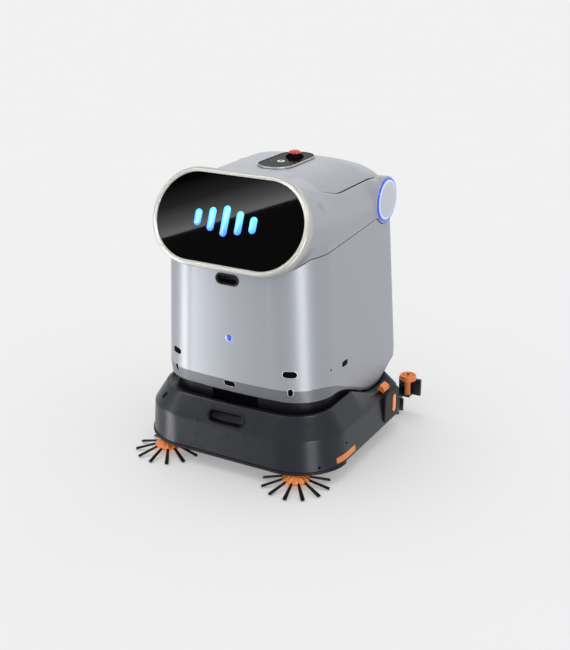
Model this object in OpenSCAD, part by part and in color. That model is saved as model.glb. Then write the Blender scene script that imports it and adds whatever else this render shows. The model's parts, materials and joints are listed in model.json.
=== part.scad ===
// Robotic floor scrubber for commercial floors.
// A skirted base carries two side brushes, a driven roller brush, two drive wheels, two casters and
// a lifting squeegee. The body above it holds the water tanks. The head, with the display, is the
// lid of the body and swings up about the two ears.
// Origin: centre of the footprint on the floor. +Z up, the front faces -Y, +X is the robot's left.

/* [Base] */
// Half width of the skirt at its bottom edge
base_half_w = 265; // [255:1:270]
// Distance from the origin to the skirt's front
base_front = 238; // [232:1:242]
// Distance from the origin to the skirt's rear
base_rear = 212; // [206:1:214]
// Height of the skirt's bottom edge above the floor
base_bottom_z = 41; // [38:1:44]
// Height of the crease that runs round the skirt
crease_z = 117; // [112:1:122]
// Height of the skirt's upper rim at the front
rim_z = 170; // [166:1:174]
// Wall thickness of the moulded shells
wall = 4; // [3:0.5:5]

/* [Body] */
// Half width of the body at its bottom
body_half_w = 220; // [214:1:222]
// Half width of the body at the head seam
body_top_half_w = 206; // [204:1:208]
// Distance from the origin to the body's front
body_front = 210; // [206:1:212]
// Distance from the origin to the body's rear, at the bottom
body_rear = 284; // [280:1:288]
// Distance from the origin to the body's rear, at the head seam
body_top_rear = 262; // [258:1:266]
// Radius of the body's front corners
body_corner = 108; // [100:1:112]

/* [Head] */
// Half of the straight length of the display glass
glass_straight = 90; // [84:1:94]
// Radius of the display glass's round ends
glass_r = 101; // [96:1:103]
// Width of the bezel round the glass
bezel_w = 12; // [10:0.5:13]
// Angle by which the display leans back, in degrees
display_tilt = 22.7; // [20:0.1:25]
// Height of the head's crown
crown_z = 698; // [694:1:700]
// Distance of the ear hinge behind the origin
hinge_y = 195; // [193:1:197]
// Height of the ear hinge
hinge_z = 598; // [596:1:600]
// Radius of the ear boss
ear_r = 57; // [55:0.5:58]

/* [Running gear] */
// Radius of the drive wheels
wheel_r = 60; // [56:1:62]
// Reach of the side brush bristles from their hub's axis
brush_reach = 84; // [80:1:88]
// Number of bristle tufts on a side brush
tuft_count = 12; // [8:1:14]
// Radius of the roller brush over its bristles
roller_r = 44; // [42:0.5:45]
// Half width of the squeegee frame
squeegee_half_w = 232; // [226:1:240]

/* [Hidden] */
$fn = 48;

slate = "#3c3f48";
silver = "#a4a7b0";
champagne = "#b9b7b2";
amber = "#f08a3a";
ink = "#1b1c20";
steel = "#8d9096";
water_blue = "#9fc3d8";

// Fits and gaps
fit = 0.05;          // radial clearance of a shaft in its own bore
gap = 0.5;           // clearance round a fixed insert
lid_gap = 2;         // seam between the head and the body

// Outline resolution
front_steps = 4;
corner_steps = 10;
side_steps = 8;
rear_corner_steps = 6;
section_points = 56;

// Skirt
base_corner = 130;
crease_inset = 8;
rim_half_w = 224;
rim_front = 215;
rim_corner = 100;
grip_z = 137;
grip_slope = 21;
strip_z = 47;
strip_h = 15;
strip_lean = 1.6;
strip_front = -151;
strip_length = 84;

// Body
body_bottom_z = 196;
lip_inset = 10;
body_rear_corner = 48;
loft_top_z = 575;
pull_z = 478;
window_turn = -65;   // bearing of the windows on the front corners
window_z = 269;

// Neck and tanks
neck_half_w = 206;
neck_front = 186;
neck_rear = 196;
tray_z = 198;
tank_half_w = 170;
tank_floor_z = 206;
tank_wall = 3;
filler_r = 32;

// Head
display_y = -199;
display_z = 613;
bezel_depth = 24;
head_wall = 5;
arch_y = -60;        // where the head's sections have become upright arches
shoulder_z = 590;
head_rear = 262;
head_corner = 48;
cover_half_w = 177;
cover_front = 152;
cover_rear = 246;
cover_corner = 120;
rear_drop = 24;      // how far the crown falls towards the rear
arch_x_power = 0.5;  // an arch's point lies at cosine ^ this across
arch_z_power = 1.2;  // and at sine ^ this above the shoulder
seam_front_y = -159;
seam_front_z = 539;
seam_slope = 0.07;
seam_nose_slope = 0.72;
seam_far = 340;      // how far the seam's line runs past the body
rear_edge_z = 541;
lid_rear_z = 548.4;
pin_r = 8;
post_x = 176;        // inner face of the posts that carry the hinge

// Control panel on the crown
panel_half_w = 46;
panel_front = -27;
panel_rear = 160;
panel_top = 700;
stop_y = 108;
stop_r = 16.5;
stop_top = 716;
collar_h = 2.5;
power_y = 40;
power_r = 9;

// Running gear places
brush_x = 180;
left_turn = 9.6;     // where the left brush stands at rest
brush_y = -210;
wheel_x = 215;
wheel_y = 85;
wheel_w = 32;
motor_shift = 22;    // side brush motors sit this far inwards and back
caster_x = 60;
caster_y = -170;
caster_r = 20;
caster_trail = 14;
roller_y = -40;
roller_z = 45;
roller_half_w = 188;
motor_z = 128;
roller_pulley_r = 24;
motor_pulley_r = 16;
belt_x = -205;
deck_z = 68;
lift_y = 150;
lift_z = 85;
squeegee_y = 270;
squeegee_rear = 294;
guide_x = 254;
guide_r = 22;

// ---------- Shape helpers ----------

function ease(t) = let (c = min(1, max(0, t))) c * c * (3 - 2 * c);
function lerp(a, b, t) = a + (b - a) * t;
function arc(cx, cy, r, a0, a1, steps) =
    [for (i = [0:steps]) let (a = lerp(a0, a1, i / steps)) [cx + r * cos(a), cy + r * sin(a)]];

// Right half of an outline seen from above, front centre to rear centre.
function half_plan(half_w, front, rear, front_r, rear_r, bow) =
    let (flat = half_w - front_r, corner_y = front_r + bow - front, rear_y = rear - rear_r)
    concat(
        [for (i = [0:front_steps - 1]) let (t = i / front_steps) [flat * t, bow * t * t - front]],
        arc(flat, corner_y, front_r, -90, 0, corner_steps),
        [for (i = [1:side_steps - 1]) [half_w, lerp(corner_y, rear_y, i / side_steps)]],
        arc(half_w - rear_r, rear_y, rear_r, 0, 90, rear_corner_steps),
        [[0, rear]]
    );

// Whole outline, with the left half mirrored from the right.
function plan(half_w, front, rear, front_r, rear_r, bow = 0) =
    let (right = half_plan(half_w, front, rear, front_r, rear_r, bow))
    concat(right, [for (i = [len(right) - 2:-1:1]) [-right[i].x, right[i].y]]);

function level(outline, z) = [for (p = outline) [p.x, p.y, z]];

// Skin over rings of points. A closed loft joins its last ring to its first.
module loft(rings, closed = false) {
    n = len(rings[0]);
    m = len(rings);
    spans = closed ? m : m - 1;
    middle = [for (k = [0, m - 1]) [for (c = [0:2]) (max([for (p = rings[k]) p[c]])
        + min([for (p = rings[k]) p[c]])) / 2]];
    sides = [for (i = [0:spans - 1], j = [0:n - 1])
        let (a = i * n + j, b = i * n + (j + 1) % n, k = (i + 1) % m * n)
        each [[a, k + j, k + (j + 1) % n], [a, k + (j + 1) % n, b]]];
    first = [for (j = [0:n - 1]) [m * n, j, (j + 1) % n]];
    last = [for (j = [0:n - 1]) [m * n + 1, (m - 1) * n + (j + 1) % n, (m - 1) * n + j]];
    polyhedron(
        concat([for (ring = rings) each ring], closed ? [] : middle),
        closed ? sides : concat(sides, first, last)
    );
}

// Extrudes a drawing of the side view (Y, Z) across the width.
module across(width) {
    rotate([90, 0, 90]) linear_extrude(width, center = true) children();
}

module stadium(half_length, r) {
    square([2 * half_length, 2 * r], center = true);
    for (side = [-1, 1]) translate([side * half_length, 0]) circle(r);
}

module both_sides() {
    children();
    mirror([1, 0, 0]) children();
}

module rod_x(x0, x1, y, z, r) {
    translate([x0, y, z]) rotate([0, 90, 0]) cylinder(h = x1 - x0, r = r);
}

module block(low, high) {
    translate(low) cube(high - low);
}

// Local frame on the display: +Z out of the glass, +Y up along it.
module on_display(depth = 0) {
    translate([0, display_y, display_z]) rotate([90 - display_tilt, 0, 0])
        translate([0, 0, depth]) children();
}

// Local frame on the skirt's front slope: +Z straight out.
module on_front_slope() {
    translate([0, -slope_y(grip_z), grip_z]) rotate([90 - grip_slope, 0, 0]) children();
}

// ---------- Curves shared by neighbouring shells ----------

function slope_y(z) = lerp(base_front - 1, rim_front, (z - crease_z) / (rim_z - crease_z));
// Bottom edge of the body: level at the front, dipping over the wheels, rising at the rear.
function body_edge(y) = body_bottom_z - 66 * ease((y + 95) / 225) + 38 * ease((y - 150) / 100);
// The skirt's rim follows that edge a little below it.
function rim_edge(y) = min(rim_z, body_edge(y) - 5);
function body_share(z) = (z - body_bottom_z) / (seam_front_z - body_bottom_z);
function body_outline(z, inset = 0) = plan(
    lerp(body_half_w, body_top_half_w, body_share(z)) - inset, body_front - inset,
    lerp(body_rear, body_top_rear, body_share(z)) - inset, body_corner - inset,
    body_rear_corner - inset, 5);
function seam(y) = y < seam_front_y ? seam_front_z + seam_nose_slope * (y - seam_front_y)
    : seam_front_z + seam_slope * (y - seam_front_y);

// Side view (Y, Z) of the seam, front to rear.
function seam_line(lift, rear_z) = [
    [-seam_far, seam(-seam_far) + lift], [seam_front_y, seam_front_z + lift],
    [hinge_y, seam(hinge_y) + lift], [hinge_y, rear_z], [seam_far, rear_z]
];

// ---------- Base ----------

module base_shell() {
    bottom = plan(base_half_w, base_front, base_rear, base_corner, 30);
    crease = plan(base_half_w - crease_inset, base_front - 1, base_rear - 4, base_corner - 6, 28);
    rim = plan(rim_half_w, rim_front, base_rear - 8, rim_corner, 24, 4);
    inner_bottom = plan(base_half_w - wall, base_front - wall, base_rear - wall,
        base_corner - wall, 26);
    inner_crease = plan(base_half_w - crease_inset - wall, base_front - 1 - wall,
        base_rear - 4 - wall, base_corner - 6 - wall, 24);
    inner_rim = plan(rim_half_w - wall, rim_front - wall, base_rear - 8 - wall,
        rim_corner - wall, 20, 4);
    color(slate) difference() {
        loft([
            level(bottom, base_bottom_z), level(crease, crease_z),
            [for (p = rim) [p.x, p.y, rim_edge(p.y)]],
            [for (p = inner_rim) [p.x, p.y, rim_edge(p.y) - wall]],
            level(inner_crease, crease_z - wall), level(inner_bottom, base_bottom_z)
        ], closed = true);
        on_front_slope() translate([0, 0, -12])
            linear_extrude(24) stadium(34, 15 + gap);
        block([-70, base_rear - 40, 0], [70, base_rear + 10, 112]);
    }
}

module chassis_frame() {
    deck = 4;
    color(steel) {
        difference() {
            translate([0, 0, deck_z]) linear_extrude(deck)
                polygon(plan(246, 222, 196, 120, 20));
            both_sides() block([192, wheel_y - 68, deck_z - 1], [238, wheel_y + 68, deck_z + 6]);
            both_sides() block([108, wheel_y - 35, deck_z - 1], [200, wheel_y + 35, deck_z + 6]);
            block([-226, roller_y - 58, deck_z - 1], [226, roller_y + 58, deck_z + 6]);
            both_sides() translate([brush_x - motor_shift, brush_y + motor_shift, deck_z - 1])
                cylinder(h = 6, r = 21);
            block([-66, 128, deck_z - 1], [66, 200, deck_z + 6]);
            both_sides() translate([caster_x, caster_y, deck_z - 1])
                cylinder(h = 6, r = 5 + fit);
        }
        // Pillars under the tank tray
        both_sides() for (y = [-118, 25])
            translate([178, y, deck_z + deck - 1]) cylinder(h = tray_z - deck_z - deck + 1, r = 8);
        // Lugs that carry the squeegee's lift pin
        both_sides() difference() {
            block([68, lift_y - 14, deck_z + deck], [74, lift_y + 14, lift_z + 14]);
            rod_x(60, 80, lift_y, lift_z, 5 + fit);
        }
    }
}

module bumper_strip() {
    depth = 3;
    color(ink) translate([0, 0, base_bottom_z - 7]) linear_extrude(6.6) difference() {
        polygon(plan(base_half_w + depth, base_front + depth, base_rear, base_corner + depth, 30));
        polygon(plan(base_half_w - 3, base_front - 3, base_rear - 3, base_corner - 3, 27));
        translate([-300, -base_front + base_corner]) square([600, 500]);
    }
}

// Sits in the skirt's wall, which leans in by strip_lean at its height.
module side_strips() {
    half_w = base_half_w - strip_lean;
    color(amber) translate([0, 0, strip_z]) linear_extrude(strip_h) both_sides() intersection() {
        difference() {
            polygon(plan(half_w + 1.2, base_front + 1.2, base_rear, base_corner + 1, 30));
            polygon(plan(half_w - 4, base_front - 4, base_rear, base_corner - 4, 30));
        }
        translate([200, strip_front]) square([80, strip_length]);
    }
}

module tail_light_frames() {
    color(ink) both_sides() translate([255, 0, 0]) rotate([90, 0, 90]) linear_extrude(13)
        polygon([[96, 54], [104, 46], [170, 46], [181, 58], [181, 112], [170, 124], [104, 124],
            [96, 116]]);
}

module tail_light_lenses() {
    color(amber) both_sides() translate([264, 149, 85]) rotate([90, 90, 90])
        linear_extrude(6) stadium(16, 8);
}

module side_latches() {
    color(amber) both_sides() translate([248, 128, 131]) rotate([0, 30, 0])
        rotate([90, 0, 0]) linear_extrude(30, center = true) difference() {
            square([20, 14], center = true);
            translate([10, 7]) circle(5);
        }
}

module grip_tray(half_length, r, depth) {
    shell = 2.5;
    difference() {
        union() {
            translate([0, 0, -depth]) linear_extrude(depth) stadium(half_length, r);
            linear_extrude(1.6) stadium(half_length, r + 4);
        }
        translate([0, 0, shell - depth]) linear_extrude(depth + 5)
            stadium(half_length, r - shell);
    }
}

module grip_inserts() {
    color(ink) {
        on_front_slope() grip_tray(34, 15, 22);
        translate([0, -body_front, pull_z]) rotate([90, 0, 0]) grip_tray(17, 10, 20);
    }
}

// ---------- Neck and body ----------

module neck_ring() {
    thick = 6;
    foot_z = 150;
    color(ink) difference() {
        translate([0, 0, foot_z]) linear_extrude(tray_z - foot_z + wall)
            polygon(plan(neck_half_w, neck_front, neck_rear, 96, 40, 4));
        translate([0, 0, foot_z - 1]) linear_extrude(tray_z - foot_z + 1)
            polygon(plan(neck_half_w - thick, neck_front - thick, neck_rear - thick, 90, 34, 4));
        // Slot behind the lidar window
        block([-70, -neck_front - 5, 154], [70, -neck_front + 20, 188]);
        // The hinge posts pass through the tray
        both_sides() block([post_x - 2, 150, tray_z - 5], [post_x + 14, 182, tray_z + 10]);
    }
}

module lidar_window() {
    color("#0d0e12") translate([0, 0, 154.5]) linear_extrude(33) intersection() {
        difference() {
            polygon(plan(neck_half_w, neck_front, neck_rear, 96, 40, 4));
            polygon(plan(neck_half_w - 3, neck_front - 3, neck_rear - 3, 93, 37, 4));
        }
        translate([-69.5, -neck_front - 5]) square([139, 30]);
    }
}

module lidar_sensor() {
    color(ink) translate([0, -140, 140]) {
        cylinder(h = 18, r = 36);
        translate([0, 0, 18]) cylinder(h = 26, r = 30);
        translate([0, 0, 44]) cylinder(h = 8, r = 34);
    }
}

module sensor_window(half_length, r) {
    translate([-3, 0, 0]) rotate([90, 0, 90]) linear_extrude(3.8) stadium(half_length, r);
}

// Local frame on a front corner of the body: +X straight out.
module on_corner(turn, z) {
    half_w = lerp(body_half_w, body_top_half_w, body_share(z));
    translate([half_w - body_corner, body_corner + 5 - body_front, z]) rotate([0, 0, turn])
        translate([body_corner, 0, 0]) children();
}

module sensor_windows() {
    color(ink) {
        both_sides() on_corner(window_turn, window_z) sensor_window(9, 8);
        both_sides() on_corner(window_turn, 224) rotate([90, 0, 0]) sensor_window(3.5, 6);
        both_sides() translate([body_half_w - 2.5, -39, 254]) sensor_window(8, 7.5);
        translate([0, -body_front + 2, 219]) rotate([0, 0, -90]) sensor_window(7.5, 8);
    }
}

module body_shell() {
    bottom = body_outline(body_bottom_z);
    lip_bottom = plan(body_half_w - 1, body_front - lip_inset, body_rear, body_corner - 8,
        body_rear_corner, 5);
    inner_bottom = plan(body_half_w - 1 - wall, body_front - lip_inset - wall, body_rear - wall,
        body_corner - 8 - wall, body_rear_corner - wall, 5);
    color(silver) difference() {
        loft([
            [for (p = lip_bottom) [p.x, p.y, body_edge(p.y)]],
            [for (p = bottom) [p.x, p.y, body_edge(p.y) + 8 + 26 * (1 - ease((p.y + 150) / 120))]],
            level(body_outline(loft_top_z), loft_top_z),
            level(body_outline(loft_top_z, wall), loft_top_z),
            [for (p = inner_bottom) [p.x, p.y, body_edge(p.y)]]
        ], closed = true);
        across(600) polygon(concat(seam_line(0, rear_edge_z), [[seam_far, 800], [-seam_far, 800]]));
        rod_x(-300, 300, hinge_y, hinge_z, ear_r + 3);
        translate([0, -body_front, pull_z]) rotate([90, 0, 0]) translate([0, 0, -12])
            linear_extrude(24) stadium(17, 10 + gap);
        // Opening behind the rear cover
        block([-130 - gap, 230, 240 - gap], [130 + gap, 300, 500 + gap]);
    }
}

module rear_cover() {
    bottom_y = lerp(body_rear, body_top_rear, body_share(240));
    top_y = lerp(body_rear, body_top_rear, body_share(500));
    color(silver) translate([-130, 0, 0]) rotate([90, 0, 90]) linear_extrude(260)
        polygon([[bottom_y - wall, 240], [bottom_y + 2, 240], [top_y + 2, 500],
            [top_y - wall, 500]]);
}

module charging_contacts() {
    y = lerp(body_rear, body_top_rear, body_share(225));
    color("#c9a14a") for (side = [-1, 1]) translate([side * 30, y - 5, 212])
        rotate([-90, 0, 0]) linear_extrude(7) stadium(12, 5);
}

module body_screws() {
    low_y = lerp(body_rear, body_top_rear, body_share(252));
    high_y = lerp(body_rear, body_top_rear, body_share(488));
    color(steel) both_sides() {
        for (place = [[118, low_y, 252], [118, high_y, 488]]) translate(place)
            rotate([90, 0, 0]) translate([0, 0, -4]) difference() {
                cylinder(h = 9, r = 3.5);
                translate([0, 0, -1]) cylinder(h = 2.5, r = 1.6, $fn = 6);
            }
    }
}

// ---------- Inside the body ----------

module tank(y0, y1, top_z, filler_x, filler_y) {
    difference() {
        union() {
            block([-tank_half_w, y0, tank_floor_z], [tank_half_w, y1, top_z]);
            translate([filler_x, filler_y, top_z]) cylinder(h = 8, r = filler_r + 3);
        }
        block([tank_wall - tank_half_w, y0 + tank_wall, tank_floor_z + tank_wall],
            [tank_half_w - tank_wall, y1 - tank_wall, top_z - tank_wall]);
        translate([filler_x, filler_y, top_z - 10]) cylinder(h = 30, r = filler_r);
    }
}

module clean_tank() {
    color(water_blue) tank(-150, 22, 450, -90, -64);
}

module recovery_tank() {
    color(steel) tank(28, 185, 470, 90, 106);
}

module tank_caps() {
    color(ink) for (place = [[-90, -64, 450], [90, 106, 470]]) translate(place) {
        translate([0, 0, -6]) cylinder(h = 14.4, r = filler_r - 0.4);
        translate([0, 0, 8.4]) cylinder(h = 9, r = filler_r + 5);
        translate([0, 0, 17.4]) block([-filler_r, -4, 0], [filler_r, 4, 7]);
    }
}

module battery_pack() {
    color("#2c3e6b") {
        block([-100, 22, deck_z + 6], [100, 122, 178]);
        block([-40, 122, 140], [40, 127, 170]);
    }
}

module vacuum_motor() {
    color(ink) translate([115, 224, tray_z + 6]) {
        cylinder(h = 12, r = 34);
        translate([0, 0, 12]) cylinder(h = 60, r = 29);
        translate([0, 0, 72]) cylinder(h = 26, r = 33);
        translate([0, 0, 98]) cylinder(h = 10, r = 14);
    }
}

module suction_duct() {
    r = 20;
    duct_y = 244;
    boot_top = 130;
    bend = 34;
    run_z = 400;
    bore_r = r - 3;
    color(ink) difference() {
        union() {
            translate([0, squeegee_y - 8, 96]) cylinder(h = boot_top - 96, r = 30);
            translate([0, duct_y, boot_top - 4]) cylinder(h = run_z - boot_top + 4, r = r);
            translate([0, duct_y - bend, run_z]) rotate([90, 0, 90])
                rotate_extrude(angle = 90) translate([bend, 0]) circle(r);
            translate([0, 186, run_z + bend]) rotate([-90, 0, 0])
                cylinder(h = duct_y - bend - 186, r = r);
        }
        translate([0, squeegee_y - 8, 95]) cylinder(h = boot_top - 99, r = 27);
        translate([0, duct_y, boot_top - 5]) cylinder(h = run_z - boot_top + 5, r = bore_r);
        translate([0, duct_y - bend, run_z]) rotate([90, 0, 90])
            rotate_extrude(angle = 90) translate([bend, 0]) circle(bore_r);
        translate([0, 185, run_z + bend]) rotate([-90, 0, 0])
            cylinder(h = duct_y - bend - 185, r = bore_r);
    }
}

module water_pump() {
    color(steel) {
        rod_x(-150, -85, 224, 232, 24);
        block([-146, 204, tray_z + 5], [-90, 244, 216]);
        rod_x(-85, -70, 224, 232, 12);
    }
}

module control_board() {
    color("#1e5b3a") {
        block([-90, -178, 290], [90, -176, 430]);
        for (x = [-60, -10, 40]) block([x, -176, 310], [x + 24, -166, 340]);
        block([-70, -176, 370], [10, -160, 400]);
    }
}

module hinge_posts() {
    color(steel) both_sides() difference() {
        translate([post_x, 0, 0]) rotate([90, 0, 90]) linear_extrude(12) {
            hull() {
                translate([hinge_y, hinge_z]) circle(14);
                translate([166, 530]) circle(14);
            }
            translate([152, deck_z + 4]) square([28, 530 - deck_z - 4]);
        }
        rod_x(post_x - 4, post_x + 16, hinge_y, hinge_z, pin_r);
    }
}

// ---------- Drives and brushes ----------

module brush_housing() {
    inner = roller_r + 6;
    outer = inner + 4;
    half_w = roller_half_w + 6;
    color(ink) {
        difference() {
            union() {
                rod_x(-half_w, half_w, roller_y, roller_z, outer);
                block([-half_w, roller_y - outer, 22], [half_w, roller_y + outer, roller_z]);
            }
            rod_x(-half_w - 1, half_w + 1, roller_y, roller_z, inner);
            block([-half_w - 1, roller_y - inner, -10], [half_w + 1, roller_y + inner, roller_z]);
            block([-half_w - 1, roller_y - outer - 1, -20], [half_w + 1, roller_y + outer + 1, 22]);
        }
        // End plates with the roller's bearings
        for (x = [-half_w - 4, half_w]) difference() {
            block([x, roller_y - 40, 22], [x + 4, roller_y + 40, 84]);
            rod_x(x - 1, x + 5, roller_y, roller_z, 8 + fit);
        }
    }
}

module roller_core() {
    color(steel) {
        rod_x(-roller_half_w, roller_half_w, roller_y, roller_z, 22);
        rod_x(-belt_x_reach(), roller_half_w + 9, roller_y, roller_z, 8);
    }
}

function belt_x_reach() = -belt_x + 8;

module roller_bristles() {
    row_count = 8;
    color(amber) difference() {
        rod_x(-roller_half_w + 2, roller_half_w - 2, roller_y, roller_z, roller_r);
        rod_x(-roller_half_w, roller_half_w, roller_y, roller_z, 22 + fit);
        for (i = [0:row_count - 1]) translate([0, roller_y, roller_z])
            rotate([i * 360 / row_count, 0, 0])
            block([-roller_half_w, -4, 34], [roller_half_w, 4, roller_r + 5]);
    }
}

module pulley(z, r, bore_r) {
    tooth_count = 16;
    color(steel) difference() {
        union() {
            rod_x(belt_x - 5, belt_x + 5, roller_y, z, r);
            for (x = [belt_x - 6, belt_x + 5]) rod_x(x, x + 1, roller_y, z, r + 3);
        }
        for (i = [0:tooth_count - 1]) translate([0, roller_y, z])
            rotate([i * 360 / tooth_count, 0, 0]) rod_x(belt_x - 5, belt_x + 5, 0, r, 1.2);
        rod_x(belt_x - 8, belt_x + 8, roller_y, z, bore_r);
    }
}

module roller_pulley() {
    pulley(roller_z, roller_pulley_r, 8);
}

module motor_pulley() {
    pulley(motor_z, motor_pulley_r, 4 + fit);
}

module drive_belt() {
    clear = 0.4;
    thick = 2.2;
    color(ink) translate([belt_x, 0, 0]) rotate([90, 0, 90])
        linear_extrude(9, center = true) difference() {
            belt_loop(clear + thick);
            belt_loop(clear);
        }
}

module belt_loop(extra) {
    hull() {
        translate([roller_y, roller_z]) circle(roller_pulley_r + extra);
        translate([roller_y, motor_z]) circle(motor_pulley_r + extra);
    }
}

module brush_motor() {
    color(ink) {
        rod_x(-185, -70, roller_y, motor_z, 26);
        rod_x(-213, -185, roller_y, motor_z, 4);
        block([-180, roller_y - 26, motor_z - 29], [-80, roller_y + 26, motor_z - 20]);
    }
}

module wheel_motors() {
    color(ink) both_sides() {
        rod_x(112, 184, wheel_y, wheel_r, 27);
        rod_x(184, 194, wheel_y, wheel_r, 33);
        rod_x(194, wheel_x + 12, wheel_y, wheel_r, 6);
        block([120, wheel_y - 20, wheel_r + 2], [182, wheel_y + 20, deck_z]);
    }
}

module drive_hub() {
    color(steel) difference() {
        rod_x(wheel_x - 15, wheel_x + 15, wheel_y, wheel_r, wheel_r - 14);
        rod_x(wheel_x - 20, wheel_x + 12.4, wheel_y, wheel_r, 6 + fit);
        rod_x(wheel_x + 8, wheel_x + 20, wheel_y, wheel_r, 34);
        rod_x(wheel_x - 20, wheel_x - 8, wheel_y, wheel_r, 38);
        for (i = [0:4]) translate([0, wheel_y, wheel_r]) rotate([i * 72, 0, 0])
            rod_x(wheel_x - 20, wheel_x + 20, 0, 25, 7);
    }
}

module drive_tyre() {
    tread_count = 24;
    color("#232428") difference() {
        rod_x(wheel_x - wheel_w / 2, wheel_x + wheel_w / 2, wheel_y, wheel_r, wheel_r);
        rod_x(wheel_x - wheel_w, wheel_x + wheel_w, wheel_y, wheel_r, wheel_r - 14);
        for (i = [0:tread_count - 1]) translate([0, wheel_y, wheel_r])
            rotate([(i + 0.5) * 360 / tread_count, 0, 0])
            block([wheel_x - wheel_w, -1.5, wheel_r - 2.5], [wheel_x - 4, 1.5, wheel_r + 5]);
        for (i = [0:tread_count - 1]) translate([0, wheel_y, wheel_r])
            rotate([(i + 0.5) * 360 / tread_count, 0, 0])
            block([wheel_x + 4, -1.5, wheel_r - 2.5], [wheel_x + wheel_w, 1.5, wheel_r + 5]);
    }
}

module caster_fork() {
    axle_y = caster_y + caster_trail;
    color(steel) difference() {
        union() {
            translate([caster_x, caster_y, 46]) cylinder(h = 18, r = 13);
            translate([caster_x, caster_y, 60]) cylinder(h = 20, r = 5);
            for (side = [-1, 1]) translate([caster_x + side * 11, 0, 0]) rotate([90, 0, 90])
                linear_extrude(3, center = true)
                polygon([[caster_y - 12, 50], [caster_y + 12, 50], [axle_y + 7, caster_r],
                    [axle_y + 4, caster_r - 7], [axle_y - 4, caster_r - 7],
                    [axle_y - 8, caster_r]]);
            rod_x(caster_x - 12, caster_x + 12, axle_y, caster_r, 3.5);
        }
    }
}

module caster_wheel() {
    color("#232428") difference() {
        rod_x(caster_x - 8, caster_x + 8, caster_y + caster_trail, caster_r, caster_r);
        rod_x(caster_x - 9, caster_x + 9, caster_y + caster_trail, caster_r, 3.5 + fit);
    }
}

// Geared motors, set inwards from the brush shafts they drive.
module side_brush_motors() {
    color(ink) both_sides() {
        translate([brush_x, brush_y, 16]) cylinder(h = 32, r = 5);
        translate([brush_x - motor_shift, brush_y + motor_shift, 44]) cylinder(h = 60, r = 20);
        hull() {
            translate([brush_x, brush_y, 46]) cylinder(h = 18, r = 11, $fn = 32);
            translate([brush_x - motor_shift, brush_y + motor_shift, 46])
                cylinder(h = 18, r = 20, $fn = 32);
        }
    }
}

module side_brush_hub() {
    petal_count = 12;
    color(amber) translate([brush_x, brush_y, 0]) difference() {
        union() {
            translate([0, 0, 20]) cylinder(h = 13.5, r1 = 34, r2 = 14);
            translate([0, 0, 14]) cylinder(h = 6, r = 34);
            translate([0, 0, 33]) cylinder(h = 6, r = 10);
        }
        translate([0, 0, 10]) cylinder(h = 40, r = 5 + fit);
        for (i = [0:petal_count - 1]) rotate([0, 0, (i + 0.5) * 360 / petal_count])
            translate([37, 0, 10]) cylinder(h = 40, r = 6);
    }
}

module side_brush_tufts(turn) {
    root_r = 27;
    root_z = 19;
    tip_r = 2.6;
    lean = 15.5;
    run = brush_reach - root_r - tip_r * sin(lean);
    color(ink) translate([brush_x, brush_y, 0]) for (i = [0:tuft_count - 1])
        rotate([0, 0, turn + i * 360 / tuft_count]) translate([root_r, 0, root_z])
        rotate([0, 90 + lean, 0]) cylinder(h = run / cos(lean), r1 = 4.2, r2 = tip_r);
}

// ---------- Squeegee ----------

module squeegee_frame() {
    color(slate) {
        difference() {
            block([-squeegee_half_w, 258, 34], [squeegee_half_w, 280, 56]);
            translate([0, squeegee_y - 8, 20]) cylinder(h = 60, r = 15);
        }
        difference() {
            translate([0, squeegee_y - 8, 56]) cylinder(h = 46, r = 18);
            translate([0, squeegee_y - 8, 50]) cylinder(h = 60, r = 15);
        }
        // Lift arms and their pivot tube
        both_sides() translate([50, 0, 0]) rotate([90, 0, 90]) linear_extrude(10)
            polygon([[lift_y - 8, lift_z - 8], [lift_y + 8, lift_z - 8], [240, 46], [260, 46],
                [260, 56], [246, 56], [lift_y + 10, lift_z + 8], [lift_y - 8, lift_z + 8]]);
        rod_x(-80, 80, lift_y, lift_z, 5);
        both_sides() {
            // Spindle and guard of the guide wheel
            translate([guide_x, squeegee_y, 56]) cylinder(h = 60, r = 3.5);
            block([squeegee_half_w - 1, 262, 51], [guide_x + 8, 290, 56]);
            block([squeegee_half_w - 10, 286, 51], [283, squeegee_rear, 96]);
            block([squeegee_half_w - 17, 280, 34], [squeegee_half_w, squeegee_rear, 56]);
        }
    }
}

module squeegee_blades() {
    color("#232428") {
        block([-squeegee_half_w - 6, 252, 0], [squeegee_half_w + 6, 258, 46]);
        block([-squeegee_half_w - 6, 280, 0], [squeegee_half_w + 6, 286, 34]);
    }
}

module squeegee_wheel() {
    spoke_count = 5;
    color(amber) translate([guide_x, squeegee_y, 0]) difference() {
        union() {
            translate([0, 0, 57]) cylinder(h = 42, r = 8);
            translate([0, 0, 99]) cylinder(h = 14, r = guide_r - 0.6);
            translate([0, 0, 102]) cylinder(h = 3, r = guide_r);
            translate([0, 0, 107]) cylinder(h = 3, r = guide_r);
        }
        translate([0, 0, 50]) cylinder(h = 80, r = 3.5 + fit);
        for (i = [0:spoke_count - 1]) rotate([0, 0, i * 360 / spoke_count])
            translate([13, 0, 104]) cylinder(h = 12, r = 4.6);
    }
}

// ---------- Head ----------

// One closed section of the head, from the display (share 0) to an upright arch (share 1).
function head_section(y, centre_z, tilt, half_w, rx, rz, base_rx, base_rz, share) =
    [for (i = [0:section_points - 1])
        let (
            a = (i + 0.5) * 360 / section_points,
            upper = a < 180,
            side = cos(a) < 0 ? -1 : 1,
            sx = upper ? rx : base_rx,
            reach = upper ? pow(abs(cos(a)), lerp(1, arch_x_power, share)) : abs(cos(a)),
            h = upper ? rz * pow(sin(a), lerp(1, arch_z_power, share)) : base_rz * sin(a)
        )
        [side * (half_w - sx + sx * reach), y + h * sin(tilt), centre_z + h * cos(tilt)]];

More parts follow.
